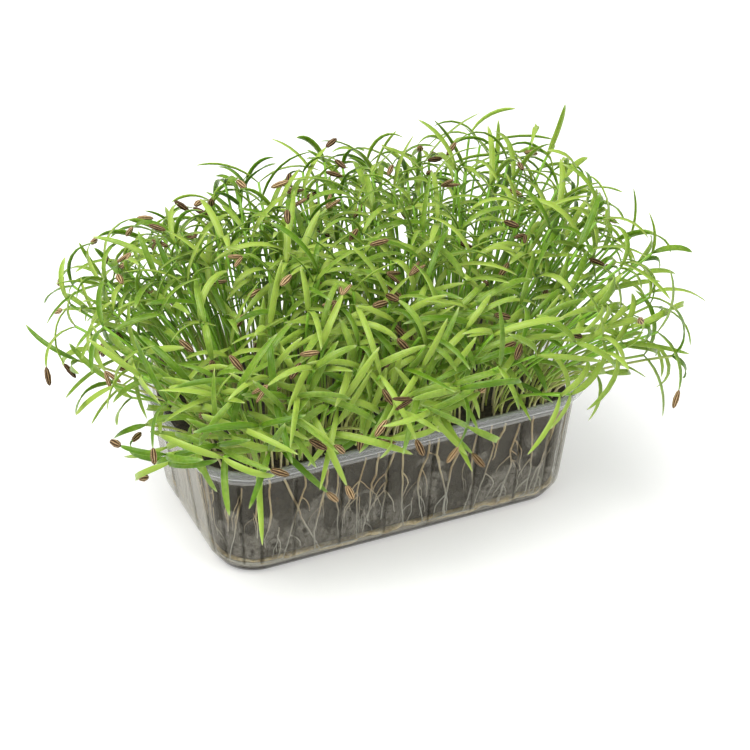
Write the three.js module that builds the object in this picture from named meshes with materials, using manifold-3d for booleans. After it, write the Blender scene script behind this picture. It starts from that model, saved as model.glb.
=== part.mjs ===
// A tray of fennel microgreens: a clear thermoformed punnet, its block of growing medium, the root mat
// that lines the punnet, and clumps of seedlings whose root plugs stand in plain holes in the medium.
// Millimetres, +Z up, origin at the middle of the underside, +X along the punnet.

import * as THREE from "three";
import { mergeVertices } from "three/addons/utils/BufferGeometryUtils.js";
import Module from "manifold-3d";

const wasm = await Module();
wasm.setup();

// ---- Punnet: driving dimensions ----
const RIM_LENGTH = 170; // outside the flange
const RIM_WIDTH = 104;
const TRAY_HEIGHT = 54;
const RIM_CORNER_RADIUS = 27;
const WALL = 0.8; // drawn thicker than the real 0.5 mm film
const FLANGE = 2.6; // how far the flange stands out of the band below it
const LIP_DROP = 2.6;
const BAND_HEIGHT = 7; // plain band between the flange and the ribbed wall
const SHOULDER = 1.2; // step in from the band to the ribbed wall
const WALL_TAPER = 4.6; // how far the ribbed wall leans in from its top to its foot
const FOOT_HEIGHT = 6; // bevel between the ribbed wall and the floor
const FOOT_INSET = 4.4;
const GROOVE_DEPTH = 0.8;
const GROOVE_HALF_WIDTH = 1.5;
const GROOVES_PER_LONG_SIDE = 6;
const GROOVES_PER_SHORT_SIDE = 2;
const GROOVES_PER_CORNER = 4;

// ---- Growing medium, roots and plugs ----
const FIT_GAP = 0.3; // between two pieces that touch
const SOIL_TOP = 47;
const ROOT_MAT_THICKNESS = 2;
const STRAND_RADIUS = 0.55;
const STRANDS = 30;
const STRAND_DRIFT = 7; // along the wall, from foot to tip
const STRAND_WAVE = 1.5;
const STRAND_STEPS = 4; // sections above the punnet's foot
const PLUG_RADIUS = 6.4;
const PLUG_DEPTH = 5;
const ROOT_REACH = [0.4, 0.66]; // share of the plug's radius at which its stems stand
const PLUG_SIDES = 6;
const CLUMP_PITCH = 20; // along a row of clumps
const ROW_SPACING = 18;
const FIRST_ROW_INSET = 9; // from the edge of the medium to the outermost clumps

// ---- Seedlings ----
const SEEDLINGS_PER_CLUMP = 4;
const STEM_RADIUS = 0.75;
const STEM_LENGTH = [48, 71];
const EDGE_SHORTENING = 0.42; // an outermost stem is shorter by up to this share
const BACK_GROWTH = 0.1; // stems are longer by this share at the back rim and shorter at the front one
const RIGHT_GROWTH = 0.11; // and longer by this share at the right end and shorter at the left one
const STEM_SINK = 3; // how deep a stem is rooted in its plug
const STEM_BOW = 1.7; // a stem starts upright and leans as this power of its height
const STEM_RINGS = [-0.1, 0.33, 0.67, 1]; // sections up a stem, the first one below ground
const EDGE_LEAN = 34; // how far an outermost stem leans out from its root
const LEAN_GROWTH = 1.3;
const LEAN_SCATTER = 15;
const BLADE_LENGTH = [25, 36];
const BLADE_SHRINK = 0.35; // a blade that is hard to fit in grows shorter, by up to this share
const BLADE_WIDTH = 3.4;
const BLADE_THICKNESS = 1;
const BLADE_STEPS = 12;
const BLADE_RINGS = [3, 6, 10]; // steps at which a blade has a section
const BLADE_OPENING = [20, 58]; // degrees from the stem at the fork
const BLADE_BEND = [35, 120]; // further degrees that a blade curls away along its length
const BLADE_TWIST = 50; // degrees at the tip, either way
const BLADE_SWING = 0.5;
const HULL_SHARE = 0.3; // share of seedlings that still carry a seed hull on a blade's tip
const HULL_LENGTH = 6.6;
const HULL_RADIUS = 1.3;
const HULL_PROFILE = [
  [0, 0.45],
  [0.25, 0.9],
  [0.7, 1],
]; // share of the hull's length, share of its radius
const CLEARANCE = 0.45; // between two seedlings
const RIM_CLEARANCE = 2;
const GROUND_CLEARANCE = 4;
const STEM_SAMPLES = 24;
const SAMPLE_CELL = BLADE_WIDTH + CLEARANCE;
const MOST_DRAWS = 150;
const RANDOM_SEED = 48;

const DEGREE = Math.PI / 180;
const CORE_X = RIM_LENGTH / 2 - RIM_CORNER_RADIUS; // half sides of the rectangle that the corner arcs turn on
const CORE_Y = RIM_WIDTH / 2 - RIM_CORNER_RADIUS;
const WALL_TOP_INSET = FLANGE + SHOULDER; // all insets are from the flange's outer edge
const WALL_TOP_Z = TRAY_HEIGHT - BAND_HEIGHT;

// Inset of the ribbed wall's outer face at height z.
function wallInset(z) {
  const rise = THREE.MathUtils.clamp((z - FOOT_HEIGHT) / (WALL_TOP_Z - FOOT_HEIGHT), 0, 1);
  const foot = THREE.MathUtils.clamp(1 - z / FOOT_HEIGHT, 0, 1);
  return WALL_TOP_INSET + WALL_TAPER * (1 - rise) + FOOT_INSET * foot;
}

const STRAND_INSET = WALL + GROOVE_DEPTH + FIT_GAP + STRAND_RADIUS; // from the wall's outer face
const SOIL_INSET = STRAND_INSET + STRAND_RADIUS + FIT_GAP;
const SOIL_BOTTOM = WALL + FIT_GAP + ROOT_MAT_THICKNESS + FIT_GAP;

// ---- Random draws, the same on every run ----
function randomStream(seed) {
  let state = seed >>> 0;
  return () => {
    state = (state + 0x6d2b79f5) >>> 0;
    let t = Math.imul(state ^ (state >>> 15), state | 1);
    t = (t + Math.imul(t ^ (t >>> 7), t | 61)) ^ t;
    return ((t ^ (t >>> 14)) >>> 0) / 4294967296;
  };
}

const between = ([low, high], share) => low + (high - low) * share;

// ---- Outlines ----
// A station is a point on the core rectangle and the way out from it. Every ring of the punnet uses the
// same stations, at its own inset.
function station(x, y, angle, groove = 0) {
  return { x, y, nx: Math.cos(angle), ny: Math.sin(angle), groove };
}

// The stations of a straight side, with a V groove at each groove's middle.
function sideStations(from, to, angle, grooves) {
  const length = Math.hypot(to[0] - from[0], to[1] - from[1]);
  const at = (distance, groove) => {
    const share = distance / length;
    return station(from[0] + (to[0] - from[0]) * share, from[1] + (to[1] - from[1]) * share, angle, groove);
  };
  const stations = [];
  for (let i = 0; i < grooves; i++) {
    const middle = (length * (i + 0.5)) / grooves;
    stations.push(at(middle - GROOVE_HALF_WIDTH, 0), at(middle, 1), at(middle + GROOVE_HALF_WIDTH, 0));
  }
  return stations;
}

// A quarter turn about a corner's centre, both ends included, with a V groove at each groove's middle.
function cornerStations(x, y, startAngle, grooves) {
  const quarter = Math.PI / 2;
  const halfWidth = GROOVE_HALF_WIDTH / RIM_CORNER_RADIUS;
  const stations = [station(x, y, startAngle)];
  for (let i = 0; i < grooves; i++) {
    const middle = startAngle + (quarter * (i + 0.5)) / grooves;
    stations.push(station(x, y, middle - halfWidth), station(x, y, middle, 1), station(x, y, middle + halfWidth));
  }
  return [...stations, station(x, y, startAngle + quarter)];
}

function trayStations() {
  const quarter = Math.PI / 2;
  return [
    ...sideStations([CORE_X, -CORE_Y], [CORE_X, CORE_Y], 0, GROOVES_PER_SHORT_SIDE),
    ...cornerStations(CORE_X, CORE_Y, 0, GROOVES_PER_CORNER),
    ...sideStations([CORE_X, CORE_Y], [-CORE_X, CORE_Y], quarter, GROOVES_PER_LONG_SIDE),
    ...cornerStations(-CORE_X, CORE_Y, quarter, GROOVES_PER_CORNER),
    ...sideStations([-CORE_X, CORE_Y], [-CORE_X, -CORE_Y], 2 * quarter, GROOVES_PER_SHORT_SIDE),
    ...cornerStations(-CORE_X, -CORE_Y, 2 * quarter, GROOVES_PER_CORNER),
    ...sideStations([-CORE_X, -CORE_Y], [CORE_X, -CORE_Y], 3 * quarter, GROOVES_PER_LONG_SIDE),
    ...cornerStations(CORE_X, -CORE_Y, 3 * quarter, GROOVES_PER_CORNER),
  ];
}

function plainStations(stepsPerCorner) {
  const corners = [
    [CORE_X, CORE_Y],
    [-CORE_X, CORE_Y],
    [-CORE_X, -CORE_Y],
    [CORE_X, -CORE_Y],
  ];
  return corners.flatMap(([x, y], corner) =>
    Array.from({ length: stepsPerCorner + 1 }, (_, i) =>
      station(x, y, (Math.PI / 2) * (corner + i / stepsPerCorner)),
    ),
  );
}

function ring(stations, inset, z, grooveDepth = 0) {
  return stations.map((s) => {
    const reach = RIM_CORNER_RADIUS - inset - s.groove * grooveDepth;
    return new THREE.Vector3(s.x + s.nx * reach, s.y + s.ny * reach, z);
  });
}

// The point at a distance along the outline that lies at an inset, and the way out there.
function alongOutline(distance, inset) {
  const radius = RIM_CORNER_RADIUS - inset;
  const arc = (radius * Math.PI) / 2;
  const total = 4 * (CORE_X + CORE_Y + arc);
  let left = ((distance % total) + total) % total;
  const sides = [
    [CORE_X, -CORE_Y, 0, 1, 2 * CORE_Y],
    [CORE_X, CORE_Y, -1, 0, 2 * CORE_X],
    [-CORE_X, CORE_Y, 0, -1, 2 * CORE_Y],
    [-CORE_X, -CORE_Y, 1, 0, 2 * CORE_X],
  ];
  for (let i = 0; i < 4; i++) {
    const [x, y, dx, dy, length] = sides[i];
    if (left <= length) {
      return { x: x + dx * left + dy * radius, y: y + dy * left - dx * radius, nx: dy, ny: -dx };
    }
    left -= length;
    if (left <= arc) {
      const angle = (i * Math.PI) / 2 + left / radius;
      const nx = Math.cos(angle);
      const ny = Math.sin(angle);
      return { x: x + dx * length + nx * radius, y: y + dy * length + ny * radius, nx, ny };
    }
    left -= arc;
  }
  return alongOutline(0, inset);
}

const outlineLength = (inset) => 4 * (CORE_X + CORE_Y) + 2 * Math.PI * (RIM_CORNER_RADIUS - inset);

// How far a point stands outside the flange's outline; negative inside it.
function outsideRim(x, y) {
  const qx = Math.abs(x) - CORE_X;
  const qy = Math.abs(y) - CORE_Y;
  return Math.hypot(Math.max(qx, 0), Math.max(qy, 0)) + Math.min(Math.max(qx, qy), 0) - RIM_CORNER_RADIUS;
}

// ---- Solids ----
function geometryOf(points, triangles) {
  return new THREE.BufferGeometry()
    .setAttribute("position", new THREE.Float32BufferAttribute(points.flatMap((p) => [p.x, p.y, p.z]), 3))
    .setIndex(triangles.flat());
}

// A closed skin over rings of equal count, with a fan over the first and the last ring.
function loft(rings) {
  const count = rings[0].length;
  const points = rings.flat();
  const triangles = [];
  for (let j = 0; j + 1 < rings.length; j++) {
    for (let i = 0; i < count; i++) {
      const a = j * count + i;
      const b = j * count + ((i + 1) % count);
      triangles.push([a, b, b + count], [a, b + count, a + count]);
    }
  }
  const last = (rings.length - 1) * count;
  const middle = (from) => {
    const sum = points.slice(from, from + count).reduce((s, p) => s.add(p), new THREE.Vector3());
    return sum.divideScalar(count);
  };
  const firstMiddle = points.length;
  points.push(middle(0), middle(last));
  for (let i = 0; i < count; i++) {
    triangles.push([firstMiddle, (i + 1) % count, i]);
    triangles.push([firstMiddle + 1, last + i, last + ((i + 1) % count)]);
  }
  return geometryOf(points, triangles);
}

function toSolid(geometry) {
  const bare = new THREE.BufferGeometry().setAttribute("position", geometry.getAttribute("position").clone());
  if (geometry.index) bare.setIndex(geometry.index.clone());
  const merged = mergeVertices(bare, 1e-4);
  return new wasm.Manifold(
    new wasm.Mesh({
      numProp: 3,
      vertProperties: new Float32Array(merged.attributes.position.array),
      triVerts: new Uint32Array(merged.index.array),
    }),
  );
}

function toGeometry(solid) {
  const mesh = solid.getMesh();
  const positions = new Float32Array(mesh.numVert * 3);
  for (let i = 0; i < mesh.numVert; i++) {
    positions.set(mesh.vertProperties.subarray(i * mesh.numProp, i * mesh.numProp + 3), i * 3);
  }
  return new THREE.BufferGeometry()
    .setAttribute("position", new THREE.BufferAttribute(positions, 3))
    .setIndex(new THREE.BufferAttribute(new Uint32Array(mesh.triVerts), 1));
}

// ---- Punnet ----
function trayGeometry() {
  const stations = trayStations();
  const innerInset = (z) => wallInset(z) + WALL;
  const underRim = TRAY_HEIGHT - WALL;
  const lipFoot = TRAY_HEIGHT - LIP_DROP;
  const innerShoulder = WALL_TOP_Z + WALL;
  return loft([
    ring(stations, wallInset(0), 0),
    ring(stations, wallInset(FOOT_HEIGHT), FOOT_HEIGHT, GROOVE_DEPTH),
    ring(stations, wallInset(WALL_TOP_Z), WALL_TOP_Z, GROOVE_DEPTH),
    ring(stations, FLANGE, WALL_TOP_Z),
    ring(stations, FLANGE, underRim),
    ring(stations, WALL, underRim),
    ring(stations, WALL, lipFoot),
    ring(stations, 0, lipFoot),
    ring(stations, 0, TRAY_HEIGHT),
    ring(stations, FLANGE + WALL, TRAY_HEIGHT),
    ring(stations, FLANGE + WALL, innerShoulder),
    ring(stations, innerInset(WALL_TOP_Z), innerShoulder, GROOVE_DEPTH),
    ring(stations, innerInset(FOOT_HEIGHT), FOOT_HEIGHT + WALL / 2, GROOVE_DEPTH),
    ring(stations, innerInset(0) + WALL / 2, WALL),
  ]);
}

// ---- Clump places: a ring along the medium's edge, a row on each long side of it, and a middle row ----
const SOIL_TOP_INSET = wallInset(SOIL_TOP) + SOIL_INSET;

function rowPlaces(halfLength, y) {
  const gaps = Math.round((2 * halfLength) / CLUMP_PITCH);
  return Array.from({ length: gaps + 1 }, (_, i) => ({ x: halfLength * ((2 * i) / gaps - 1), y }));
}

function clumpPlaces() {
  const ringInset = SOIL_TOP_INSET + FIRST_ROW_INSET;
  const rowInset = ringInset + ROW_SPACING;
  const ringLength = outlineLength(ringInset);
  const ringCount = Math.round(ringLength / CLUMP_PITCH);
  const ringPlaces = Array.from({ length: ringCount }, (_, i) =>
    alongOutline((ringLength * (i + 0.25)) / ringCount, ringInset),
  );
  const halfLength = RIM_LENGTH / 2 - rowInset;
  const rowY = RIM_WIDTH / 2 - rowInset;
  return [
    ...ringPlaces,
    ...rowPlaces(halfLength, rowY),
    ...rowPlaces(halfLength, -rowY),
    ...rowPlaces(halfLength - ROW_SPACING, 0),
  ];
}

function plugGeometry(place, radius, depth) {
  const geometry = new THREE.CylinderGeometry(radius, radius, depth, PLUG_SIDES);
  geometry.rotateX(Math.PI / 2).translate(place.x, place.y, SOIL_TOP - depth / 2);
  return geometry;
}

// ---- Growing medium ----
function soilSolid(places) {
  const stations = plainStations(4);
  const soil = toSolid(
    loft([
      ring(stations, wallInset(0) + SOIL_INSET + WALL, SOIL_BOTTOM),
      ring(stations, wallInset(FOOT_HEIGHT) + SOIL_INSET, FOOT_HEIGHT + 2 * WALL),
      ring(stations, SOIL_TOP_INSET, SOIL_TOP - 1),
      ring(stations, SOIL_TOP_INSET + 1, SOIL_TOP),
    ]),
  );
  const overshoot = 1;
  return places.reduce((left, place) => {
    const hole = new THREE.CylinderGeometry(
      PLUG_RADIUS + FIT_GAP,
      PLUG_RADIUS + FIT_GAP,
      PLUG_DEPTH + FIT_GAP + overshoot,
      PLUG_SIDES,
    );
    const middle = SOIL_TOP + (overshoot - PLUG_DEPTH - FIT_GAP) / 2;
    hole.rotateX(Math.PI / 2).translate(place.x, place.y, middle);
    return left.subtract(toSolid(hole));
  }, soil);
}

// ---- Root mat: a felt on the punnet's floor with strands that climb the wall ----
// A strand stands in the felt and follows the wall up.
function strandGeometry(index) {
  const random = randomStream(RANDOM_SEED + 90000 + index);
  const middleInset = wallInset(SOIL_TOP / 2) + STRAND_INSET;
  const start = (outlineLength(middleInset) * (index + 0.6 * random())) / STRANDS;
  const drift = (random() - 0.5) * STRAND_DRIFT;
  const wave = STRAND_WAVE * random();
  const phase = 2 * Math.PI * random();
  const low = 2 * WALL + STRAND_RADIUS;
  const knee = FOOT_HEIGHT + WALL;
  const top = SOIL_TOP - 2 - 8 * random() * random();
  const climb = Array.from({ length: STRAND_STEPS }, (_, i) => knee + ((top - knee) * i) / (STRAND_STEPS - 1));
  const rings = [low, ...climb].map((z) => {
    const share = (z - low) / (top - low);
    const rooted = (WALL + 2 * STRAND_RADIUS) * THREE.MathUtils.clamp(1 - z / FOOT_HEIGHT, 0, 1);
    const inset = wallInset(z) + STRAND_INSET + rooted;
    const along = (start + drift * share + wave * Math.sin(phase + 5 * share)) / outlineLength(middleInset);
    const at = alongOutline(along * outlineLength(inset), inset);
    const radius = STRAND_RADIUS * (0.75 + 0.25 * share);
    const corner = (a) => {
      const side = radius * Math.cos(a);
      const out = radius * Math.sin(a);
      return new THREE.Vector3(at.x - at.ny * side + at.nx * out, at.y + at.nx * side + at.ny * out, z);
    };
    return [corner((5 * Math.PI) / 6), corner(Math.PI / 6), corner(-Math.PI / 2)];
  });
  return loft(rings);
}

function rootMatSolid() {
  const stations = plainStations(4);
  const low = WALL + FIT_GAP;
  const high = low + ROOT_MAT_THICKNESS;
  const inset = (z) => wallInset(z) + STRAND_INSET - STRAND_RADIUS + WALL;
  const felt = toSolid(loft([ring(stations, inset(low), low), ring(stations, inset(high), high)]));
  return Array.from({ length: STRANDS }, (_, i) => i).reduce(
    (mat, i) => mat.add(toSolid(strandGeometry(i))),
    felt,
  );
}

// ---- Seedlings: where each stem and each blade runs ----
// What already stands, as sample points in a grid of cells, for keeping stems and blades clear of each other.
class Crowd {
  cells = new Map();

  static cellOf(point) {
    return [point.x, point.y, point.z].map((v) => Math.floor(v / SAMPLE_CELL));
  }

  // The owner of a sample, the seedling it belongs to, never stands in its own way.
  isClear(samples, owner) {
    return samples.every(({ point, radius }) => {
      const [i, j, k] = Crowd.cellOf(point);
      for (let a = i - 1; a <= i + 1; a++) {
        for (let b = j - 1; b <= j + 1; b++) {
          for (let c = k - 1; c <= k + 1; c++) {
            for (const other of this.cells.get(`${a} ${b} ${c}`) ?? []) {
              const least = radius + other.radius + CLEARANCE;
              if (other.owner !== owner && point.distanceToSquared(other.point) < least * least) return false;
            }
          }
        }
      }
      return true;
    });
  }

  add(samples, owner) {
    for (const { point, radius } of samples) {
      const key = Crowd.cellOf(point).join(" ");
      if (!this.cells.has(key)) this.cells.set(key, []);
      this.cells.get(key).push({ point, radius, owner });
    }
  }
}

// How near a root is to the edge, 0 on the punnet's middle line and 1 on its rim, and the way out from that line.
function edgeNearness(x, y) {
  const middleLine = (RIM_LENGTH - RIM_WIDTH) / 2;
  const dx = x - THREE.MathUtils.clamp(x, -middleLine, middleLine);
  const distance = Math.max(Math.hypot(dx, y), 1e-6);
  return { near: distance / (RIM_WIDTH / 2), outX: dx / distance, outY: y / distance };
}

// A stem leans outwards and is shorter towards the edge, and the crop is tallest at its right back corner.
function drawStem(base, random) {
  const { near, outX, outY } = edgeNearness(base.x, base.y);
  const lean = EDGE_LEAN * Math.pow(near, LEAN_GROWTH);
  const dx = outX * lean + (random() - 0.5) * LEAN_SCATTER;
  const dy = outY * lean + (random() - 0.5) * LEAN_SCATTER;
  const growth = 1 + (2 * RIGHT_GROWTH * base.x) / RIM_LENGTH + (2 * BACK_GROWTH * base.y) / RIM_WIDTH;
  const shortening = 1 - EDGE_SHORTENING * near * near * random();
  const length = between(STEM_LENGTH, random()) * growth * shortening;
  const rise = Math.sqrt(Math.max(length * length - dx * dx - dy * dy, 9));
  const at = (share) => {
    const bow = Math.pow(share, STEM_BOW);
    return new THREE.Vector3(base.x + dx * bow, base.y + dy * bow, SOIL_TOP + rise * share);
  };
  const fork = at(1);
  const along = fork.clone().sub(at(0.85)).normalize();
  const heading = 2 * Math.PI * random();
  const away = new THREE.Vector3(Math.cos(heading), Math.sin(heading), 0);
  away.addScaledVector(along, -away.dot(along)).normalize();
  return { base, at, fork, along, away, side: along.clone().cross(away) };
}

function stemSamples(stem) {
  const samples = [];
  for (let i = 1; i <= STEM_SAMPLES; i++) {
    samples.push({ point: stem.at(i / STEM_SAMPLES), radius: STEM_RADIUS });
  }
  return samples;
}

// One draw of a blade: it leaves the fork at its opening angle and curls on away from the stem's line.
function drawBlade(stem, sign, hull, shrink, random) {
  const length = between(BLADE_LENGTH, random()) * shrink;
  const opening = between(BLADE_OPENING, random()) * DEGREE;
  const bend = between(BLADE_BEND, random()) * DEGREE;
  const twist = (2 * random() - 1) * BLADE_TWIST * DEGREE;
  const swing = (random() - 0.5) * BLADE_SWING;
  const points = [stem.fork];
  for (let i = 1; i <= BLADE_STEPS + (hull ? 2 : 0); i++) {
    const share = (i - 0.5) / BLADE_STEPS;
    const angle = opening + bend * Math.min(share, 1);
    const step = i <= BLADE_STEPS ? length / BLADE_STEPS : HULL_LENGTH / 2;
    const heading = stem.along.clone().multiplyScalar(Math.cos(angle));
    heading.addScaledVector(stem.away, sign * Math.sin(angle)).addScaledVector(stem.side, swing * share);
    points.push(points[i - 1].clone().addScaledVector(heading.normalize(), step));
  }
  return { sign, hull, twist, points };
}

function bladeSamples(blade) {
  return blade.points.slice(2).map((point, i) => ({
    point,
    radius: i + 2 < BLADE_STEPS ? bladeHalfWidth((i + 2) / BLADE_STEPS) : HULL_RADIUS,
  }));
}

// The half width of a blade at a share of its length.
function bladeHalfWidth(share) {
  const rise = share < 0.4 ? 1 - (1 - share / 0.4) ** 2 : 1;
  const fall = share > 0.6 ? Math.sqrt(Math.max(0, 1 - ((share - 0.6) / 0.4) ** 2)) : 1;
  return (BLADE_WIDTH / 2) * (0.35 + 0.65 * rise) * fall;
}

// Level with the rim or lower, a sample stays well inside the flange or well outside it, and off the ground.
function clearOfRim(samples) {
  return samples.every(({ point, radius }) => {
    if (point.z > TRAY_HEIGHT + RIM_CLEARANCE) return true;
    const out = outsideRim(point.x, point.y);
    const inside = out < -(FLANGE + WALL + radius + CLEARANCE) && point.z > SOIL_TOP;
    return point.z > GROUND_CLEARANCE && (inside || out > RIM_CLEARANCE + radius);
  });
}

// Draws until what is drawn is clear of the rim and of the crowd, and then joins the crowd.
function drawClear(crowd, owner, draw, samplesOf) {
  for (let turn = 0; turn < MOST_DRAWS; turn++) {
    const drawn = draw(turn / MOST_DRAWS);
    const samples = samplesOf(drawn);
    if (clearOfRim(samples) && crowd.isClear(samples, owner)) {
      crowd.add(samples, owner);
      return drawn;
    }
  }
  return null;
}

// Every stem first, then a first and a second blade on each of them.
function placeSeedlings(places) {
  const crowd = new Crowd();
  const seedlings = [];
  places.forEach((place, clump) => {
    const random = randomStream(RANDOM_SEED + clump);
    const start = 2 * Math.PI * random();
    for (let i = 0; i < SEEDLINGS_PER_CLUMP; i++) {
      const angle = start + (2 * Math.PI * (i + 0.4 * random())) / SEEDLINGS_PER_CLUMP;
      const reach = PLUG_RADIUS * between(ROOT_REACH, random());
      const x = place.x + reach * Math.cos(angle);
      const y = place.y + reach * Math.sin(angle);
      const base = new THREE.Vector3(x, y, SOIL_TOP);
      const owner = seedlings.length;
      const own = randomStream(RANDOM_SEED * (owner + 2));
      const stem = drawClear(crowd, owner, () => drawStem(base, own), stemSamples);
      const hulled = own() < HULL_SHARE ? 0 : -1;
      seedlings.push({ clump, stem, own, hulled, blades: [] });
    }
  });
  [1, -1].forEach((sign, turn) => {
    seedlings.forEach((seedling, owner) => {
      if (!seedling.stem) return;
      const draw = (wait) =>
        drawBlade(seedling.stem, sign, turn === seedling.hulled, 1 - BLADE_SHRINK * wait, seedling.own);
      seedling.blades.push(drawClear(crowd, owner, draw, bladeSamples));
    });
  });
  return seedlings;
}

// ---- Seedlings: their solids ----
// The direction of a blade's width and of its underside at one of its points.
function bladeFrame(stem, blade, i) {
  const before = blade.points[Math.max(i - 1, 0)];
  const after = blade.points[Math.min(i + 1, blade.points.length - 1)];
  const heading = after.clone().sub(before).normalize();
  const across = stem.side.clone().addScaledVector(heading, -stem.side.dot(heading)).normalize();
  const under = across.clone().cross(heading).multiplyScalar(blade.sign);
  const turn = blade.twist * Math.min(i / BLADE_STEPS, 1);
  return {
    across: across.clone().multiplyScalar(Math.cos(turn)).addScaledVector(under, Math.sin(turn)),
    under: under.multiplyScalar(Math.cos(turn)).addScaledVector(across, -Math.sin(turn)),
  };
}

// A three-sided section: a flat face of the given half width with a keel below it.
function bladeSection(stem, blade, i, centre, halfWidth, above, below) {
  const { across, under } = bladeFrame(stem, blade, i);
  const top = centre.clone().addScaledVector(under, -above);
  const left = top.clone().addScaledVector(across, -halfWidth);
  const right = top.clone().addScaledVector(across, halfWidth);
  const keel = centre.clone().addScaledVector(under, below);
  return blade.sign > 0 ? [left, keel, right] : [right, keel, left];
}

function bladeSections(stem, blade) {
  const sections = BLADE_RINGS.map((i) =>
    bladeSection(stem, blade, i, blade.points[i], bladeHalfWidth(i / BLADE_STEPS), 0, BLADE_THICKNESS),
  );
  if (!blade.hull) return { sections, tip: blade.points[BLADE_STEPS] };
  const neck = blade.points[BLADE_STEPS];
  const tip = blade.points[BLADE_STEPS + 2];
  for (const [share, size] of HULL_PROFILE) {
    const radius = size * HULL_RADIUS;
    const centre = neck.clone().lerp(tip, share);
    sections.push(bladeSection(stem, blade, BLADE_STEPS + 1, centre, radius, radius / 2, radius));
  }
  return { sections, tip };
}

function stemSection(stem, share) {
  const at = share < 0 ? stem.base.clone().setZ(SOIL_TOP - STEM_SINK) : stem.at(share);
  const low = Math.max(share - 0.05, 0);
  const tangent = stem.at(low + 0.1).sub(stem.at(low)).normalize();
  const out = stem.away.clone().addScaledVector(tangent, -stem.away.dot(tangent)).normalize();
  const across = tangent.cross(out);
  return [
    at.clone().addScaledVector(across, -STEM_RADIUS),
    at.clone().addScaledVector(out, STEM_RADIUS),
    at.clone().addScaledVector(across, STEM_RADIUS),
    at.clone().addScaledVector(out, -STEM_RADIUS),
  ];
}

// A seedling's skin: a four-sided stem whose top ring splits along its diagonal into two three-sided blades.
function seedlingGeometry({ stem, blades }) {
  const points = [];
  const triangles = [];
  const add = (section) => section.map((p) => points.push(p) - 1);
  const strip = (low, high) => {
    for (let i = 0; i < low.length; i++) {
      const next = (i + 1) % low.length;
      triangles.push([low[i], low[next], high[next]], [low[i], high[next], high[i]]);
    }
    return high;
  };
  const [foot, ...rest] = STEM_RINGS.map((share) => add(stemSection(stem, share)));
  triangles.push([foot[0], foot[2], foot[1]], [foot[0], foot[3], foot[2]]);
  const [left, front, right, back] = rest.reduce(strip, foot);
  const halves = [
    [left, front, right],
    [right, back, left],
  ];
  blades.forEach((blade, half) => {
    if (!blade) {
      triangles.push(halves[half]);
      return;
    }
    const { sections, tip } = bladeSections(stem, blade);
    const last = sections.reduce((low, section) => strip(low, add(section)), halves[half]);
    const [tipIndex] = add([tip]);
    last.forEach((from, i) => triangles.push([from, last[(i + 1) % last.length], tipIndex]));
  });
  return geometryOf(points, triangles);
}

function clumpSolid(place, seedlings) {
  const plug = toSolid(plugGeometry(place, PLUG_RADIUS, PLUG_DEPTH));
  return seedlings.reduce((solid, seedling) => solid.add(toSolid(seedlingGeometry(seedling))), plug);
}

// ---- Materials and assembly ----
const clearPlastic = new THREE.MeshStandardMaterial({
  color: "#dfe3e4",
  roughness: 0.12,
  transparent: true,
  opacity: 0.35,
});
const darkMedium = new THREE.MeshStandardMaterial({ color: "#3d3833", roughness: 0.95 });
const paleRoot = new THREE.MeshStandardMaterial({ color: "#b3a380", roughness: 0.8 });
const freshLeaf = new THREE.MeshStandardMaterial({ color: "#6aa324", roughness: 0.5 });

function piece(name, geometry, material) {
  const flat = geometry.index ? geometry.toNonIndexed() : geometry;
  flat.computeVertexNormals();
  const mesh = new THREE.Mesh(flat, material);
  mesh.name = name;
  return mesh;
}

function buildTray() {
  const group = new THREE.Group();
  const places = clumpPlaces();
  const seedlings = placeSeedlings(places);
  group.add(piece("tray", trayGeometry(), clearPlastic));
  group.add(piece("growing_medium", toGeometry(soilSolid(places)), darkMedium));
  group.add(piece("root_mat", toGeometry(rootMatSolid()), paleRoot));
  places.forEach((place, clump) => {
    const own = seedlings.filter((seedling) => seedling.clump === clump && seedling.stem);
    const name = "seedlings_" + String(clump + 1).padStart(2, "0");
    group.add(piece(name, toGeometry(clumpSolid(place, own)), freshLeaf));
  });
  return group;
}

export default buildTray();
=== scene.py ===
"""Looks of a tray of fennel microgreens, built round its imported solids.

Sizes are in millimetres and become metres where a piece is made. +Z is up, +X runs along the tray.
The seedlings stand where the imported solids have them, because both grow by the same seeded rule.
"""

from __future__ import annotations

import logging
import math
from collections import defaultdict
from collections.abc import Callable, Iterator, Sequence
from dataclasses import dataclass, field, replace
from enum import Enum
from functools import partial

import bmesh
import bpy
from mathutils import Matrix, Vector, noise

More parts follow.
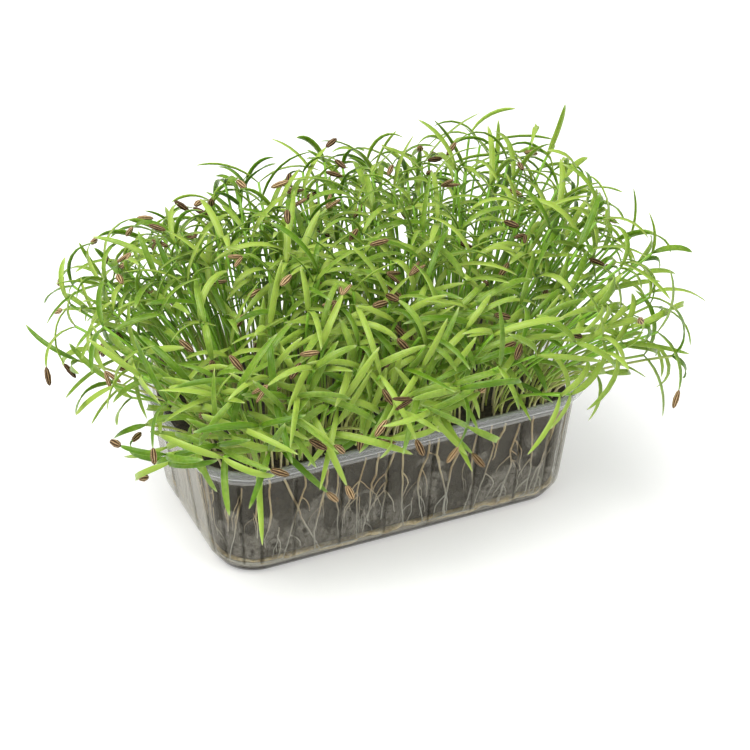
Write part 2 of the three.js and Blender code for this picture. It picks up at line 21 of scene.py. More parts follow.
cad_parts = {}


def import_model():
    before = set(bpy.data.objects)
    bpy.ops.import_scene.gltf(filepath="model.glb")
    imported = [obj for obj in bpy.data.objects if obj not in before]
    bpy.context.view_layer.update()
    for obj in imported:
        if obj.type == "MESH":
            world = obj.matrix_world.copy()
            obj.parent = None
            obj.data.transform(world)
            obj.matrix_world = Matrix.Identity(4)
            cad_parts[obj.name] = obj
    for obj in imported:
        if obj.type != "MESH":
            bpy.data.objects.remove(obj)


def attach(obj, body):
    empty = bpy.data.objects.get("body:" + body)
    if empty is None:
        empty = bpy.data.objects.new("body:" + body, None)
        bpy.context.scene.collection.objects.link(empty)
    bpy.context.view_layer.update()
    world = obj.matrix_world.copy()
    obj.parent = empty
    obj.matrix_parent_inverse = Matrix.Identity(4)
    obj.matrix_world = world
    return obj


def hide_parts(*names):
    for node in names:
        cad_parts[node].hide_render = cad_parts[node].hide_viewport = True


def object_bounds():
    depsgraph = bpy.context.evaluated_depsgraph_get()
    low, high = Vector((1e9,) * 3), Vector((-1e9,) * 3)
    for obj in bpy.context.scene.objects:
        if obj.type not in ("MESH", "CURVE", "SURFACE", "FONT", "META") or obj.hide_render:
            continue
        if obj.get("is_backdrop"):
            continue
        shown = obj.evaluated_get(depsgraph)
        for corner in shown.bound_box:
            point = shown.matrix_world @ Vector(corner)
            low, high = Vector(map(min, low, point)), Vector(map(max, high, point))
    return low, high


MM = 0.001
UP = Vector((0.0, 0.0, 1.0))
# Largest 32-bit whole number: the random stream wraps there.
WORD = 0xFFFFFFFF
# Inset of the outline that grooves and sweeps are measured along.
REFERENCE_INSET = 10.0
# Points nearer than this are one point.
MERGE_DISTANCE = 0.0005
# Inputs of a Mix node for colours: how far it goes from one colour to the other, and those two.
SHARE, FROM, TO = 0, 6, 7
LOG = logging.getLogger("microgreens")
NodeMaker = Callable[..., bpy.types.Node]


# ---------------------------------------------------------------------------------------------------
# Sizes shared by the tray, what fills it and the crop
# ---------------------------------------------------------------------------------------------------


def clamp(value: float, low: float = 0.0, high: float = 1.0) -> float:
    """Return value, kept between low and high."""
    return min(max(value, low), high)


def between(limits: tuple[float, float], share: float) -> float:
    """Return the value at a share of the way between two limits."""
    return limits[0] + (limits[1] - limits[0]) * share


@dataclass(frozen=True)
class TraySize:
    """Sizes of the punnet and of what lies in it, in millimetres. Insets are from the rim's outer edge."""

    rim_length: float = 170.0
    rim_width: float = 104.0
    height: float = 54.0
    corner_radius: float = 27.0
    wall: float = 0.8
    flange: float = 2.6
    lip_drop: float = 2.6
    band_height: float = 7.0
    shoulder: float = 1.2
    wall_taper: float = 4.6
    foot_height: float = 6.0
    foot_inset: float = 4.4
    groove_depth: float = 0.8
    groove_half_width: float = 1.5
    grooves_long_side: int = 6
    grooves_short_side: int = 2
    grooves_corner: int = 4
    fit_gap: float = 0.3
    soil_top: float = 47.0
    mat_thickness: float = 2.0
    strand_radius: float = 0.55

    @property
    def core_x(self) -> float:
        """Half the length of the rectangle that the corner arcs turn on."""
        return self.rim_length / 2 - self.corner_radius

    @property
    def core_y(self) -> float:
        """Half the width of the rectangle that the corner arcs turn on."""
        return self.rim_width / 2 - self.corner_radius

    @property
    def wall_top_z(self) -> float:
        """Height of the shoulder, where the ribbed wall ends."""
        return self.height - self.band_height

    @property
    def strand_inset(self) -> float:
        """Inset of a root strand's middle from the wall's outer face."""
        return self.wall + self.groove_depth + self.fit_gap + self.strand_radius

    @property
    def soil_inset(self) -> float:
        """Inset of the medium from the wall's outer face."""
        return self.strand_inset + self.strand_radius + self.fit_gap

    def wall_inset(self, z: float) -> float:
        """Find how far in from the rim the ribbed wall's outer face stands.

        Args:
            z: the height.

        Returns:
            The inset.
        """
        rise = clamp((z - self.foot_height) / (self.wall_top_z - self.foot_height))
        foot = clamp(1 - z / self.foot_height)
        return self.flange + self.shoulder + self.wall_taper * (1 - rise) + self.foot_inset * foot


class RandomStream:
    """A repeatable stream of numbers from 0 to 1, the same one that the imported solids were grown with."""

    STRIDE = 0x6D2B79F5

    def __init__(self, seed: int) -> None:
        """Start the stream at a whole-number seed."""
        self.state = seed & WORD

    def __call__(self) -> float:
        """Return the next number.

        Returns:
            A number from 0 to 1.
        """
        self.state = (self.state + self.STRIDE) & WORD
        t = ((self.state ^ (self.state >> 15)) * (self.state | 1)) & WORD
        t = ((t + (((t ^ (t >> 7)) * (t | 61)) & WORD)) & WORD) ^ t
        return (t ^ (t >> 14)) / (WORD + 1)

    def within(self, low: float, high: float) -> float:
        """Return the next number, spread between low and high."""
        return low + (high - low) * self()


@dataclass(frozen=True)
class Outline:
    """The rim's rounded rectangle and every outline set in from it."""

    size: TraySize

    def length(self, inset: float) -> float:
        """Return the length of the outline at an inset."""
        size = self.size
        return 4 * (size.core_x + size.core_y) + 2 * math.pi * (size.corner_radius - inset)

    def along(self, distance: float, inset: float) -> tuple[Vector, Vector]:
        """Find a point on the outline at an inset.

        Args:
            distance: how far along the outline, anticlockwise from the +X side's near end.
            inset: how far the outline is set in from the rim.

        Returns:
            The point, at height 0, and the way out from it.
        """
        size = self.size
        x, y = size.core_x, size.core_y
        radius = size.corner_radius - inset
        arc = radius * math.pi / 2
        left = distance % self.length(inset)
        sides = [(x, -y, 0, 1, 2 * y), (x, y, -1, 0, 2 * x), (-x, y, 0, -1, 2 * y), (-x, -y, 1, 0, 2 * x)]
        for turn, (start_x, start_y, run_x, run_y, length) in enumerate(sides):
            run = Vector((run_x, run_y, 0))
            start = Vector((start_x, start_y, 0))
            if left <= length:
                out = Vector((run_y, -run_x, 0))
                return start + run * left + out * radius, out
            left -= length
            if left <= arc:
                angle = turn * math.pi / 2 + left / radius
                out = Vector((math.cos(angle), math.sin(angle), 0))
                return start + run * length + out * radius, out
            left -= arc
        return self.along(0, inset)

    def outside(self, x: float, y: float) -> float:
        """Find how far a point stands outside the rim.

        Args:
            x: the point's place along the tray.
            y: its place across the tray.

        Returns:
            The distance, negative inside the rim.
        """
        beyond_x = abs(x) - self.size.core_x
        beyond_y = abs(y) - self.size.core_y
        corner = math.hypot(max(beyond_x, 0), max(beyond_y, 0))
        return corner + min(max(beyond_x, beyond_y), 0) - self.size.corner_radius


# ---------------------------------------------------------------------------------------------------
# Making pieces
# ---------------------------------------------------------------------------------------------------


class Slot(Enum):
    """The record's material slots."""

    CLEAR_PLASTIC = "clear_plastic"
    GROWING_MEDIUM = "growing_medium"
    ROOT = "root"
    SEEDLING = "seedling"


@dataclass(frozen=True)
class ProfilePoint:
    """A point of a section that is swept round the tray's outline.

    Attributes:
        inset: distance in from the rim.
        z: height.
        core: 1 on an outline, down to 0 where the sweep closes on the middle.
        groove: how much of a groove's depth the section takes here.
    """

    inset: float
    z: float
    core: float = 1.0
    groove: float = 0.0


@dataclass(frozen=True)
class Sweep:
    """Carries a section round the tray's outline, in a number of steps."""

    outline: Outline
    around: int

    def distance(self, step: int) -> float:
        """Return how far round the reference outline a step is."""
        return self.outline.length(REFERENCE_INSET) * step / self.around

    def build(
        self,
        profile: Sequence[ProfilePoint],
        groove: Callable[[float], float] = lambda distance: 0.0,
    ) -> bmesh.types.BMesh:
        """Sweep a section.

        Args:
            profile: the section, from the underside's middle outwards, up, and back in over the top.
            groove: inward depth of a groove at a distance along the reference outline.

        Returns:
            A mesh in millimetres, with its grooves' depth from 0 to 1 in the point layer "groove".
        """
        size = self.outline.size
        bm = bmesh.new()
        last = len(profile) - 1
        bmesh.ops.create_grid(bm, x_segments=self.around, y_segments=last, size=0.5)
        layer = bm.verts.layers.float.new("groove")
        stations = [self.outline.along(self.distance(i), REFERENCE_INSET) for i in range(self.around + 1)]
        depths = [groove(self.distance(i)) for i in range(self.around + 1)]
        for vert in bm.verts:
            step = round((vert.co.x + 0.5) * self.around)
            point = profile[round((vert.co.y + 0.5) * last)]
            on_outline, out = stations[step]
            core = on_outline - out * (size.corner_radius - REFERENCE_INSET)
            depth = depths[step] * point.groove
            vert[layer] = depth / size.groove_depth
            place = core * point.core + out * (size.corner_radius - point.inset - depth)
            vert.co = (place.x, place.y, point.z)
        bmesh.ops.remove_doubles(bm, verts=bm.verts, dist=MERGE_DISTANCE)
        return bm


def make_piece(
    name: str,
    bm: bmesh.types.BMesh,
    materials: Sequence[bpy.types.Material],
    slot: Slot,
    *nodes: str,
) -> bpy.types.Object:
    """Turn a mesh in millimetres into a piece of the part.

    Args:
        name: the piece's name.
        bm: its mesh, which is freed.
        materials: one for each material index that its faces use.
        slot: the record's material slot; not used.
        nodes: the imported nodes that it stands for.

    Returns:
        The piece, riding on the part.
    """
    bmesh.ops.scale(bm, vec=(MM, MM, MM), verts=bm.verts)
    for face in bm.faces:
        face.smooth = True
    mesh = bpy.data.meshes.new(name)
    bm.to_mesh(mesh)
    bm.free()
    for material in materials:
        mesh.materials.append(material)
    piece = bpy.data.objects.new(name, mesh)
    bpy.context.scene.collection.objects.link(piece)
    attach(piece, "root")
    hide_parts(*nodes)
    return piece


def tube_template(name: str, segments: int, rings: int, material_index: int) -> bpy.types.Mesh:
    """Make a closed tube of radius 1 from z = 0 to 1, for bending into stems, blades and hulls.

    Args:
        name: the mesh's name.
        segments: sides of the tube.
        rings: steps along it.
        material_index: the material of its faces.

    Returns:
        The tube, with its side-to-side place and its length as UV.
    """
    bm = bmesh.new()
    bmesh.ops.create_cone(bm, cap_ends=True, segments=segments, radius1=1, radius2=1, depth=1)
    bmesh.ops.translate(bm, vec=UP / 2, verts=bm.verts)
    sides = [edge for edge in bm.edges if abs(edge.verts[0].co.z - edge.verts[1].co.z) > 0.5]
    bmesh.ops.subdivide_edges(bm, edges=sides, cuts=rings - 1)
    layer = bm.loops.layers.uv.new("UVMap")
    for face in bm.faces:
        face.material_index = material_index
        for loop in face.loops:
            loop[layer].uv = (loop.vert.co.x / 2 + 0.5, loop.vert.co.z)
    mesh = bpy.data.meshes.new(name)
    bm.to_mesh(mesh)
    bm.free()
    return mesh


# ---------------------------------------------------------------------------------------------------
# Finishes
# ---------------------------------------------------------------------------------------------------


def srgb(code: str) -> tuple[float, float, float, float]:
    """Turn an sRGB colour to linear.

    Args:
        code: a hex code such as "#7db32e".

    Returns:
        Red, green, blue and an alpha of 1.
    """
    values = [int(code[i : i + 2], 16) / 255 for i in (1, 3, 5)]
    linear = [v / 12.92 if v <= 0.04045 else ((v + 0.055) / 1.055) ** 2.4 for v in values]
    return linear[0], linear[1], linear[2], 1.0


def per_metre(size_mm: float) -> float:
    """Return the noise scale that gives grains of a real size, for coordinates in metres."""
    return 1 / (size_mm * MM)


def in_metres(sizes_mm: Sequence[float]) -> list[float]:
    """Return sizes in metres."""
    return [size * MM for size in sizes_mm]


def add_node(
    tree: bpy.types.NodeTree,
    kind: str,
    inputs: dict[str | int, object] | Sequence[object] = (),
    **settings: object,
) -> bpy.types.Node:
    """Add a node with its settings and links.

    Args:
        tree: the material's or the world's node tree.
        kind: the node's type without its prefix, such as "TexNoise".
        inputs: for each input, by name or in order: a number, a hex colour, an output, or a node, whose
            first output in use is taken.
        settings: attributes of the node.

    Returns:
        The node.
    """
    node = tree.nodes.new("ShaderNode" + kind)
    for key, value in settings.items():
        setattr(node, key, value)
    for key, value in inputs.items() if isinstance(inputs, dict) else enumerate(inputs):
        if isinstance(value, bpy.types.Node):
            value = next(socket for socket in value.outputs if socket.enabled)
        if isinstance(value, bpy.types.NodeSocket):
            tree.links.new(value, node.inputs[key])
        else:
            node.inputs[key].default_value = srgb(value) if isinstance(value, str) else value
    return node


class Finish:
    """A finish that makes its material once, under its own name."""

    name: str = "finish"

    def material(self) -> bpy.types.Material:
        """Make the finish's material, on the first call only.

        Returns:
            The material.
        """
        found = bpy.data.materials.get(self.name)
        if found is None:
            found = bpy.data.materials.new(self.name)
            found.use_nodes = True
            found.node_tree.nodes.clear()
            add = partial(add_node, found.node_tree)
            add("OutputMaterial", {"Surface": self.shader(add)})
        return found

    def shader(self, add: NodeMaker) -> bpy.types.Node:
        """Build the shader's nodes and return the last of them."""
        raise NotImplementedError


@dataclass(frozen=True)
class ThermoformedPet(Finish):
    """Clear PET sheet drawn over a mould: mirror-smooth, so it is seen only by its gloss and its grooves.

    A cloudy fog of damp, with clear windows and pores, veils what stands behind the lower wall.
    """

    name: str = "clear_pet_sheet"
    clear: str = "#f6f7f7"
    # The grooves' tint and coat colour are painted shade, standing in for the darkening their bending of
    # light gives.
    groove_shade_tint: str = "#cbcbc7"
    groove_shade: str = "#4a4a48"
    haze: str = "#dededc"
    # Colour of the painted shade at the foot, which stands in shade.
    painted_foot_shade: str = "#3b331f"
    fog: str = "#bfb9aa"
    gloss_roughness: float = 0.06
    ior: float = 1.57
    # The gloss's share when faced, what a full slant adds to it, and how steeply that comes in.
    gloss_faced: float = 0.018
    gloss_slant: float = 0.75
    gloss_rise: float = 3.0
    groove_fade: tuple[float, float] = (0.35, 1.0)
    groove_shadow: float = 0.4
    dry_haze: float = 0.12
    # How much of the painted shade covers the sheet right at the bottom.
    bottom_shade_share: float = 0.85
    dry_z_mm: tuple[float, float] = (46, 48)
    # Heights over which painted shade darkens the foot, and the very bottom.
    foot_shade_z_mm: tuple[float, float] = (2.4, 3.6)
    bottom_shade_z_mm: tuple[float, float] = (1.1, 2.2)
    wiped_z_mm: tuple[float, float] = (4.5, 8)
    fog_middle_mm: float = 30.0
    fog_sway_mm: float = 66.0
    fog_edge_mm: float = 3.0
    fog_cloud_mm: float = 15.0
    fog_window_mm: float = 9.0
    # Droplets are finer than this; they are drawn as coarse as they need to show.
    fog_grain_mm: float = 1.7
    pore_mm: float = 2.6
    # Windows run down the wall, as drops clear it; each pattern is shifted off the others.
    window_scale: tuple[float, float, float] = (1.0, 1.0, 0.6)
    window_shift: tuple[float, float, float] = (0.31, 0.31, 0.31)
    pore_shift: tuple[float, float, float] = (0.17, 0.17, 0.17)
    # For each pattern, the noise values that it fades between, and what it leaves of the fog there.
    window_fade: tuple[float, ...] = (0.5, 0.6, 1.0, 0.35)
    pore_fade: tuple[float, ...] = (0.61, 0.66, 1.0, 0.15)
    grain_fade: tuple[float, ...] = (0.36, 0.66, 0.08, 0.24)

    def shader(self, add: NodeMaker) -> bpy.types.Node:
        """Mix a clear pane with its gloss, and lay fog over the lower wall.

        Args:
            add: adds a node to the material.

        Returns:
            The shader.
        """
        place = add("TexCoord").outputs["Object"]
        height = add("SeparateXYZ", (place,)).outputs["Z"]
        depth = add("Attribute", attribute_name="groove").outputs["Fac"]
        groove = add("MapRange", (depth, *self.groove_fade), interpolation_type="SMOOTHSTEP")
        # A pane's gloss rises steeply only where it is seen at a slant.
        facing = add("LayerWeight", (0.5,)).outputs["Facing"]
        slant = add("Math", (facing, self.gloss_rise), operation="POWER")
        gloss = add("Math", (slant, self.gloss_slant, self.gloss_faced), operation="MULTIPLY_ADD")
        share = add("Math", (self.fog_share(add, place, height), gloss), operation="MAXIMUM")
        # Above the medium the sheet is dry, with a trace of haze.
        dry = add("MapRange", (height, *in_metres(self.dry_z_mm)), interpolation_type="SMOOTHSTEP")
        share = add("Math", (dry, self.dry_haze, share), operation="MULTIPLY_ADD", use_clamp=True)
        # Painted shade darkens the sheet at its foot, most of all right at the bottom.
        shaded_z, thick = in_metres(self.foot_shade_z_mm), in_metres(self.bottom_shade_z_mm)
        foot = add("MapRange", (height, *shaded_z, 1.0, 0.0), interpolation_type="SMOOTHSTEP")
        bottom = add("MapRange", (height, *thick, self.bottom_shade_share, 0.0), interpolation_type="SMOOTHSTEP")
        share = add("Math", (share, bottom), operation="MAXIMUM")
        # Painted shade darkens the grooves, in the pane's tint and in the coat's colour.
        tint = add("Mix", {SHARE: groove, FROM: self.clear, TO: self.groove_shade_tint}, data_type="RGBA")
        pane = add("BsdfTransparent", (tint,))
        milk = add("Mix", {SHARE: dry, FROM: self.fog, TO: self.haze}, data_type="RGBA")
        shadow = add("Math", (groove, self.groove_shadow), operation="MULTIPLY")
        shaded = add("Mix", {SHARE: shadow, FROM: milk, TO: self.groove_shade}, data_type="RGBA")
        colour = add("Mix", {SHARE: foot, FROM: shaded, TO: self.painted_foot_shade}, data_type="RGBA")
        film = {"Base Color": colour, "Roughness": self.gloss_roughness, "IOR": self.ior}
        return add("MixShader", (share, pane, add("BsdfPrincipled", film)))

    def fog_share(
        self, add: NodeMaker, place: bpy.types.NodeSocket, height: bpy.types.NodeSocket
    ) -> bpy.types.Node:
        """Find how much the fog veils: clouds with a wandering upper edge, less windows and pores.

        Args:
            add: adds a node to the material.
            place: the surface's coordinates.
            height: its height.

        Returns:
            The node that gives the share.
        """
        clouds = add("TexNoise", {"Vector": place, "Scale": per_metre(self.fog_cloud_mm), "Detail": 3.0})
        runs = {"Vector": place, "Location": self.window_shift, "Scale": self.window_scale}
        drawn = add("Mapping", runs)
        windows = add("TexNoise", {"Vector": drawn, "Scale": per_metre(self.fog_window_mm), "Detail": 2.5})
        fine = {"Vector": place, "Scale": per_metre(self.fog_grain_mm), "Detail": 4.0, "Roughness": 0.7}
        grain = add("TexNoise", fine)
        shifted = add("Mapping", {"Vector": place, "Location": self.pore_shift})
        pores = add("TexNoise", {"Vector": shifted, "Scale": per_metre(self.pore_mm), "Detail": 2.0})
        sway, soft = self.fog_sway_mm * MM, self.fog_edge_mm * MM
        edge = add("Math", (clouds, sway, self.fog_middle_mm * MM - sway / 2), operation="MULTIPLY_ADD")
        below = add("Math", (edge, height), operation="SUBTRACT")
        fog = add("MapRange", (below, -soft, soft), interpolation_type="SMOOTHSTEP")
        # The roots' roll presses on the sheet at the foot and keeps it clear.
        foot = add("MapRange", (height, *in_metres(self.wiped_z_mm)), interpolation_type="SMOOTHSTEP")
        window = add("MapRange", (windows, *self.window_fade), interpolation_type="SMOOTHSTEP")
        pore = add("MapRange", (pores, *self.pore_fade), interpolation_type="SMOOTHSTEP")
        grained = add("MapRange", (grain, *self.grain_fade), interpolation_type="SMOOTHSTEP")
        for part in (foot, window, pore, grained):
            fog = add("Math", (fog, part), operation="MULTIPLY")
        return fog


@dataclass(frozen=True)
class DampPeat(Finish):
    """Milled peat with coir, damp: matt near-black crumbs with a little brown fibre."""

    name: str = "damp_peat"
    dark: str = "#2b2520"
    mid: str = "#4f493e"
    fibre: str = "#75603f"
    crumb_mm: float = 1.6
    crumb_fade: tuple[float, float] = (0.35, 0.68)
    crumb_relief_mm: float = 0.8
    fibre_mm: float = 0.7
    fibre_fade: tuple[float, float] = (0.66, 0.72)
    roughness: float = 0.86

    def shader(self, add: NodeMaker) -> bpy.types.Node:
        """Colour crumbs and fibre by noise, and raise them.

        Args:
            add: adds a node to the material.

        Returns:
            The shader.
        """
        place = add("TexCoord").outputs["Object"]
        coarse = {"Vector": place, "Scale": per_metre(self.crumb_mm), "Detail": 5.0, "Roughness": 0.65}
        crumbs = add("TexNoise", coarse)
        fibres = add("TexNoise", {"Vector": place, "Scale": per_metre(self.fibre_mm)})
        raised = add("MapRange", (crumbs, *self.crumb_fade))
        soil = add("Mix", {SHARE: raised, FROM: self.dark, TO: self.mid}, data_type="RGBA")
        bits = add("MapRange", (fibres, *self.fibre_fade))
        colour = add("Mix", {SHARE: bits, FROM: soil, TO: self.fibre}, data_type="RGBA")
        bump = add("Bump", {"Strength": 0.9, "Distance": self.crumb_relief_mm * MM, "Height": crumbs})
        return add("BsdfPrincipled", {"Base Color": colour, "Roughness": self.roughness, "Normal": bump})


@dataclass(frozen=True)
class RootSkin(Finish):
    """Young roots' wet skin against the sheet: satin, tan where they are old and high, whitish lower down."""

    name: str = "root_skin"
    tan: str = "#b3966a"
    cream: str = "#ccb88e"
    white: str = "#b9b5a8"
    stain_mm: float = 7.0
    stain_fade: tuple[float, float] = (0.4, 0.6)
    white_z_mm: tuple[float, float] = (14, 34)
    roughness: float = 0.55

    def shader(self, add: NodeMaker) -> bpy.types.Node:
        """Grade the skin by height and stain it in patches.

        Args:
            add: adds a node to the material.

        Returns:
            The shader.
        """
        place = add("TexCoord").outputs["Object"]
        height = add("SeparateXYZ", (place,)).outputs["Z"]
        stains = add("TexNoise", {"Vector": place, "Scale": per_metre(self.stain_mm), "Detail": 4.0})
        stained = add("MapRange", (stains, *self.stain_fade))
        old = add("Mix", {SHARE: stained, FROM: self.tan, TO: self.cream}, data_type="RGBA")
        fade = in_metres(self.white_z_mm)
        low = add("MapRange", (height, *fade, 1.0, 0.0), interpolation_type="SMOOTHSTEP")
        colour = add("Mix", {SHARE: low, FROM: old, TO: self.white}, data_type="RGBA")
        return add("BsdfPrincipled", {"Base Color": colour, "Roughness": self.roughness})


@dataclass(frozen=True)
class RootFelt(Finish):
    """Roots matted by growing against the sheet: matt tan felt, dark in its hollows, with painted shade at
    its foot.
    """

    name: str = "root_felt"
    # Colour of the painted shade at the felt's foot, which stands in shade.
    painted_foot_shade: str = "#2e2717"
    hollow: str = "#a58d62"
    tan: str = "#dfc899"
    pale: str = "#f3e6c6"
    lump_mm: float = 4.0
    # A root hair is far finer; the fibres are drawn as coarse as they need to show.
    fibre_mm: float = 0.8
    fibre_relief_mm: float = 0.5
    hollow_fade: tuple[float, float] = (0.36, 0.5)
    pale_fade: tuple[float, float] = (0.5, 0.64)
    # Heights over which painted shade darkens the foot.
    foot_shade_z_mm: tuple[float, float] = (2.2, 3.2)
    roughness: float = 0.8

    def shader(self, add: NodeMaker) -> bpy.types.Node:
        """Mix lumps and fibres, under painted shade at the foot.

        Args:
            add: adds a node to the material.

        Returns:
            The shader.
        """
        place = add("TexCoord").outputs["Object"]
        height = add("SeparateXYZ", (place,)).outputs["Z"]
        # Painted shade darkens the felt at its foot.
        shaded_z = in_metres(self.foot_shade_z_mm)
        foot = add("MapRange", (height, *shaded_z, 1.0, 0.0), interpolation_type="SMOOTHSTEP")
        lumps = add("TexNoise", {"Vector": place, "Scale": per_metre(self.lump_mm), "Detail": 3.0})
        fine = {"Vector": place, "Scale": per_metre(self.fibre_mm), "Detail": 3.0, "Roughness": 0.6}
        fibres = add("TexNoise", fine)
        both = add("Math", (add("Math", (lumps, fibres)), 0.5), operation="MULTIPLY")
        raised = add("MapRange", (both, *self.hollow_fade))
        tan = add("Mix", {SHARE: raised, FROM: self.hollow, TO: self.tan}, data_type="RGBA")
        worn = add("MapRange", (both, *self.pale_fade))
        felt = add("Mix", {SHARE: worn, FROM: tan, TO: self.pale}, data_type="RGBA")
        colour = add("Mix", {SHARE: foot, FROM: felt, TO: self.painted_foot_shade}, data_type="RGBA")
        bump = add("Bump", {"Strength": 0.8, "Distance": self.fibre_relief_mm * MM, "Height": fibres})
        return add("BsdfPrincipled", {"Base Color": colour, "Roughness": self.roughness, "Normal": bump})


@dataclass(frozen=True)
class SeedLeaf(Finish):
    """Fennel's strap seed leaf: satin yellow-green with lengthwise veins, paler at its tip and margins,
    partly by its own colour and partly by painted sheen.
    """

    name: str = "seed_leaf"
    deep: str = "#527709"
    fresh: str = "#93ab43"
    # Pale colour of tips and margins, partly their own colour and partly painted sheen.
    tip: str = "#c6d396"
    # Real veins lie about 0.3 mm apart; they are drawn as coarse as they need to show.
    vein_spacing_mm: float = 0.75
    vein_depth_mm: float = 0.12
    blade_width_mm: float = 3.4
    mottle_mm: float = 9.0
    fleck_mm: float = 1.3
    # How much of the colour each pattern decides, and the leaf's own tone.
    mottle_share: float = 0.5
    fleck_share: float = 0.4
    tone_share: float = 0.75
    ripening: tuple[float, float] = (0.22, 0.78)
    # Where margins and tips turn pale, partly their own colour and partly painted sheen, as shares of the
    # width and the length, and how pale.
    margin_fade: tuple[float, ...] = (0.36, 0.5, 0.0, 0.45)
    tip_fade: tuple[float, ...] = (0.72, 1.0, 0.0, 0.6)
    roughness: float = 0.38
    gloss: float = 0.3
    # Light seeps through the flesh, green furthest.
    seep: float = 0.3
    seep_mm: float = 1.2
    seep_reach: tuple[float, float, float] = (0.55, 1.0, 0.1)

    def shader(self, add: NodeMaker) -> bpy.types.Node:
        """Colour by each leaf's own tone, then veins, margins and tip from its UV.

        Args:
            add: adds a node to the material.

        Returns:
            The shader.
        """
        coords = add("TexCoord")
        uv = add("SeparateXYZ", (coords.outputs["UV"],))
        across, along = uv.outputs["X"], uv.outputs["Y"]
        tone = add("Attribute", attribute_name="tone").outputs["Fac"]
        place = coords.outputs["Object"]
        mottle = add("TexNoise", {"Vector": place, "Scale": per_metre(self.mottle_mm)})
        flecks = add("TexNoise", {"Vector": place, "Scale": per_metre(self.fleck_mm)})
        shade = add("Math", (flecks, self.fleck_share, -self.fleck_share / 2), operation="MULTIPLY_ADD")
        shade = add("Math", (mottle, self.mottle_share, shade), operation="MULTIPLY_ADD")
        shade = add("Math", (tone, self.tone_share, shade), operation="MULTIPLY_ADD")
        ripeness = add("MapRange", (shade, *self.ripening))
        body = add("Mix", {SHARE: ripeness, FROM: self.deep, TO: self.fresh}, data_type="RGBA")
        from_middle = add("Math", (add("Math", (across, 0.5), operation="SUBTRACT"),), operation="ABSOLUTE")
        margin = add("MapRange", (from_middle, *self.margin_fade), interpolation_type="SMOOTHSTEP")
        tips = add("MapRange", (along, *self.tip_fade), interpolation_type="SMOOTHSTEP")
        # Margins and tips are paled, partly their own colour and partly painted sheen.
        pale_and_sheen = add("Math", (margin, tips), operation="MAXIMUM")
        colour = add("Mix", {SHARE: pale_and_sheen, FROM: body, TO: self.tip}, data_type="RGBA")
        turns = 2 * math.pi * self.blade_width_mm / self.vein_spacing_mm
        veins = add("Math", (add("Math", (across, turns), operation="MULTIPLY"),), operation="SINE")
        bump = add("Bump", {"Strength": 0.25, "Distance": self.vein_depth_mm * MM, "Height": veins})
        skin = {"Base Color": colour, "Roughness": self.roughness, "Normal": bump}
        skin |= {"Specular IOR Level": self.gloss, "Subsurface Weight": self.seep}
        skin |= {"Subsurface Radius": self.seep_reach, "Subsurface Scale": self.seep_mm * MM}
        return add("BsdfPrincipled", skin)


@dataclass(frozen=True)
class SeedlingStem(Finish):
    """The juicy stem below the seed leaves: satin, ivory at the root, through straw to soft green."""

    name: str = "seedling_stem"
    root: str = "#d3c7a0"
    straw: str = "#b3b86a"
    green: str = "#7fae30"
    rise_z_mm: tuple[float, float] = (47.0, 92.0)
    drift_mm: float = 22.0
    # Shares of that rise over which root turns to straw, and straw to green.
    straw_fade: tuple[float, float] = (0.1, 0.45)
    green_fade: tuple[float, float] = (0.45, 0.95)
    roughness: float = 0.38
    seep: float = 0.3
    seep_mm: float = 0.8
    seep_reach: tuple[float, float, float] = (0.8, 1.0, 0.4)

    def shader(self, add: NodeMaker) -> bpy.types.Node:
        """Grade the colour by height, with a little drift from stem to stem.

        Args:
            add: adds a node to the material.

        Returns:
            The shader.
        """
        height = add("SeparateXYZ", (add("TexCoord").outputs["Object"],)).outputs["Z"]
        drift = add("Attribute", attribute_name="tone").outputs["Fac"]
        lifted = add("Math", (drift, self.drift_mm * MM, height), operation="MULTIPLY_ADD")
        rise = add("MapRange", (lifted, *in_metres(self.rise_z_mm)))
        low, high = add("MapRange", (rise, *self.straw_fade)), add("MapRange", (rise, *self.green_fade))
        pale = add("Mix", {SHARE: low, FROM: self.root, TO: self.straw}, data_type="RGBA")
        colour = add("Mix", {SHARE: high, FROM: pale, TO: self.green}, data_type="RGBA")
        skin = {"Base Color": colour, "Roughness": self.roughness, "Subsurface Weight": self.seep}
        skin |= {"Subsurface Radius": self.seep_reach, "Subsurface Scale": self.seep_mm * MM}
        return add("BsdfPrincipled", skin)


@dataclass(frozen=True)
class SeedHull(Finish):
    """A dry fennel fruit's papery hull: matt tan ridges with near-black furrows between them."""

    name: str = "seed_hull"
    furrow: str = "#160d05"
    brown: str = "#5c4323"
    ridge: str = "#dcbd8d"
    grain_mm: float = 0.6
    grain_share: float = 0.4
    # Heights above the furrows, with the grain added, over which each colour gives way to the next.
    brown_fade: tuple[float, float] = (0.35, 0.7)
    ridge_fade: tuple[float, float] = (0.7, 1.15)
    roughness: float = 0.6
    gloss: float = 0.2

    def shader(self, add: NodeMaker) -> bpy.types.Node:
        """Colour by height above the furrows.

        Args:
            add: adds a node to the material.

        Returns:
            The shader.
        """
        ridge = add("Attribute", attribute_name="tone").outputs["Fac"]
        place = add("TexCoord").outputs["Object"]
        grain = add("TexNoise", {"Vector": place, "Scale": per_metre(self.grain_mm), "Detail": 3.0})
        worn = add("Math", (grain, self.grain_share, ridge), operation="MULTIPLY_ADD")
        low, high = add("MapRange", (worn, *self.brown_fade)), add("MapRange", (worn, *self.ridge_fade))
        dark = add("Mix", {SHARE: low, FROM: self.furrow, TO: self.brown}, data_type="RGBA")
        colour = add("Mix", {SHARE: high, FROM: dark, TO: self.ridge}, data_type="RGBA")
        skin = {"Base Color": colour, "Roughness": self.roughness, "Specular IOR Level": self.gloss}
        return add("BsdfPrincipled", skin)


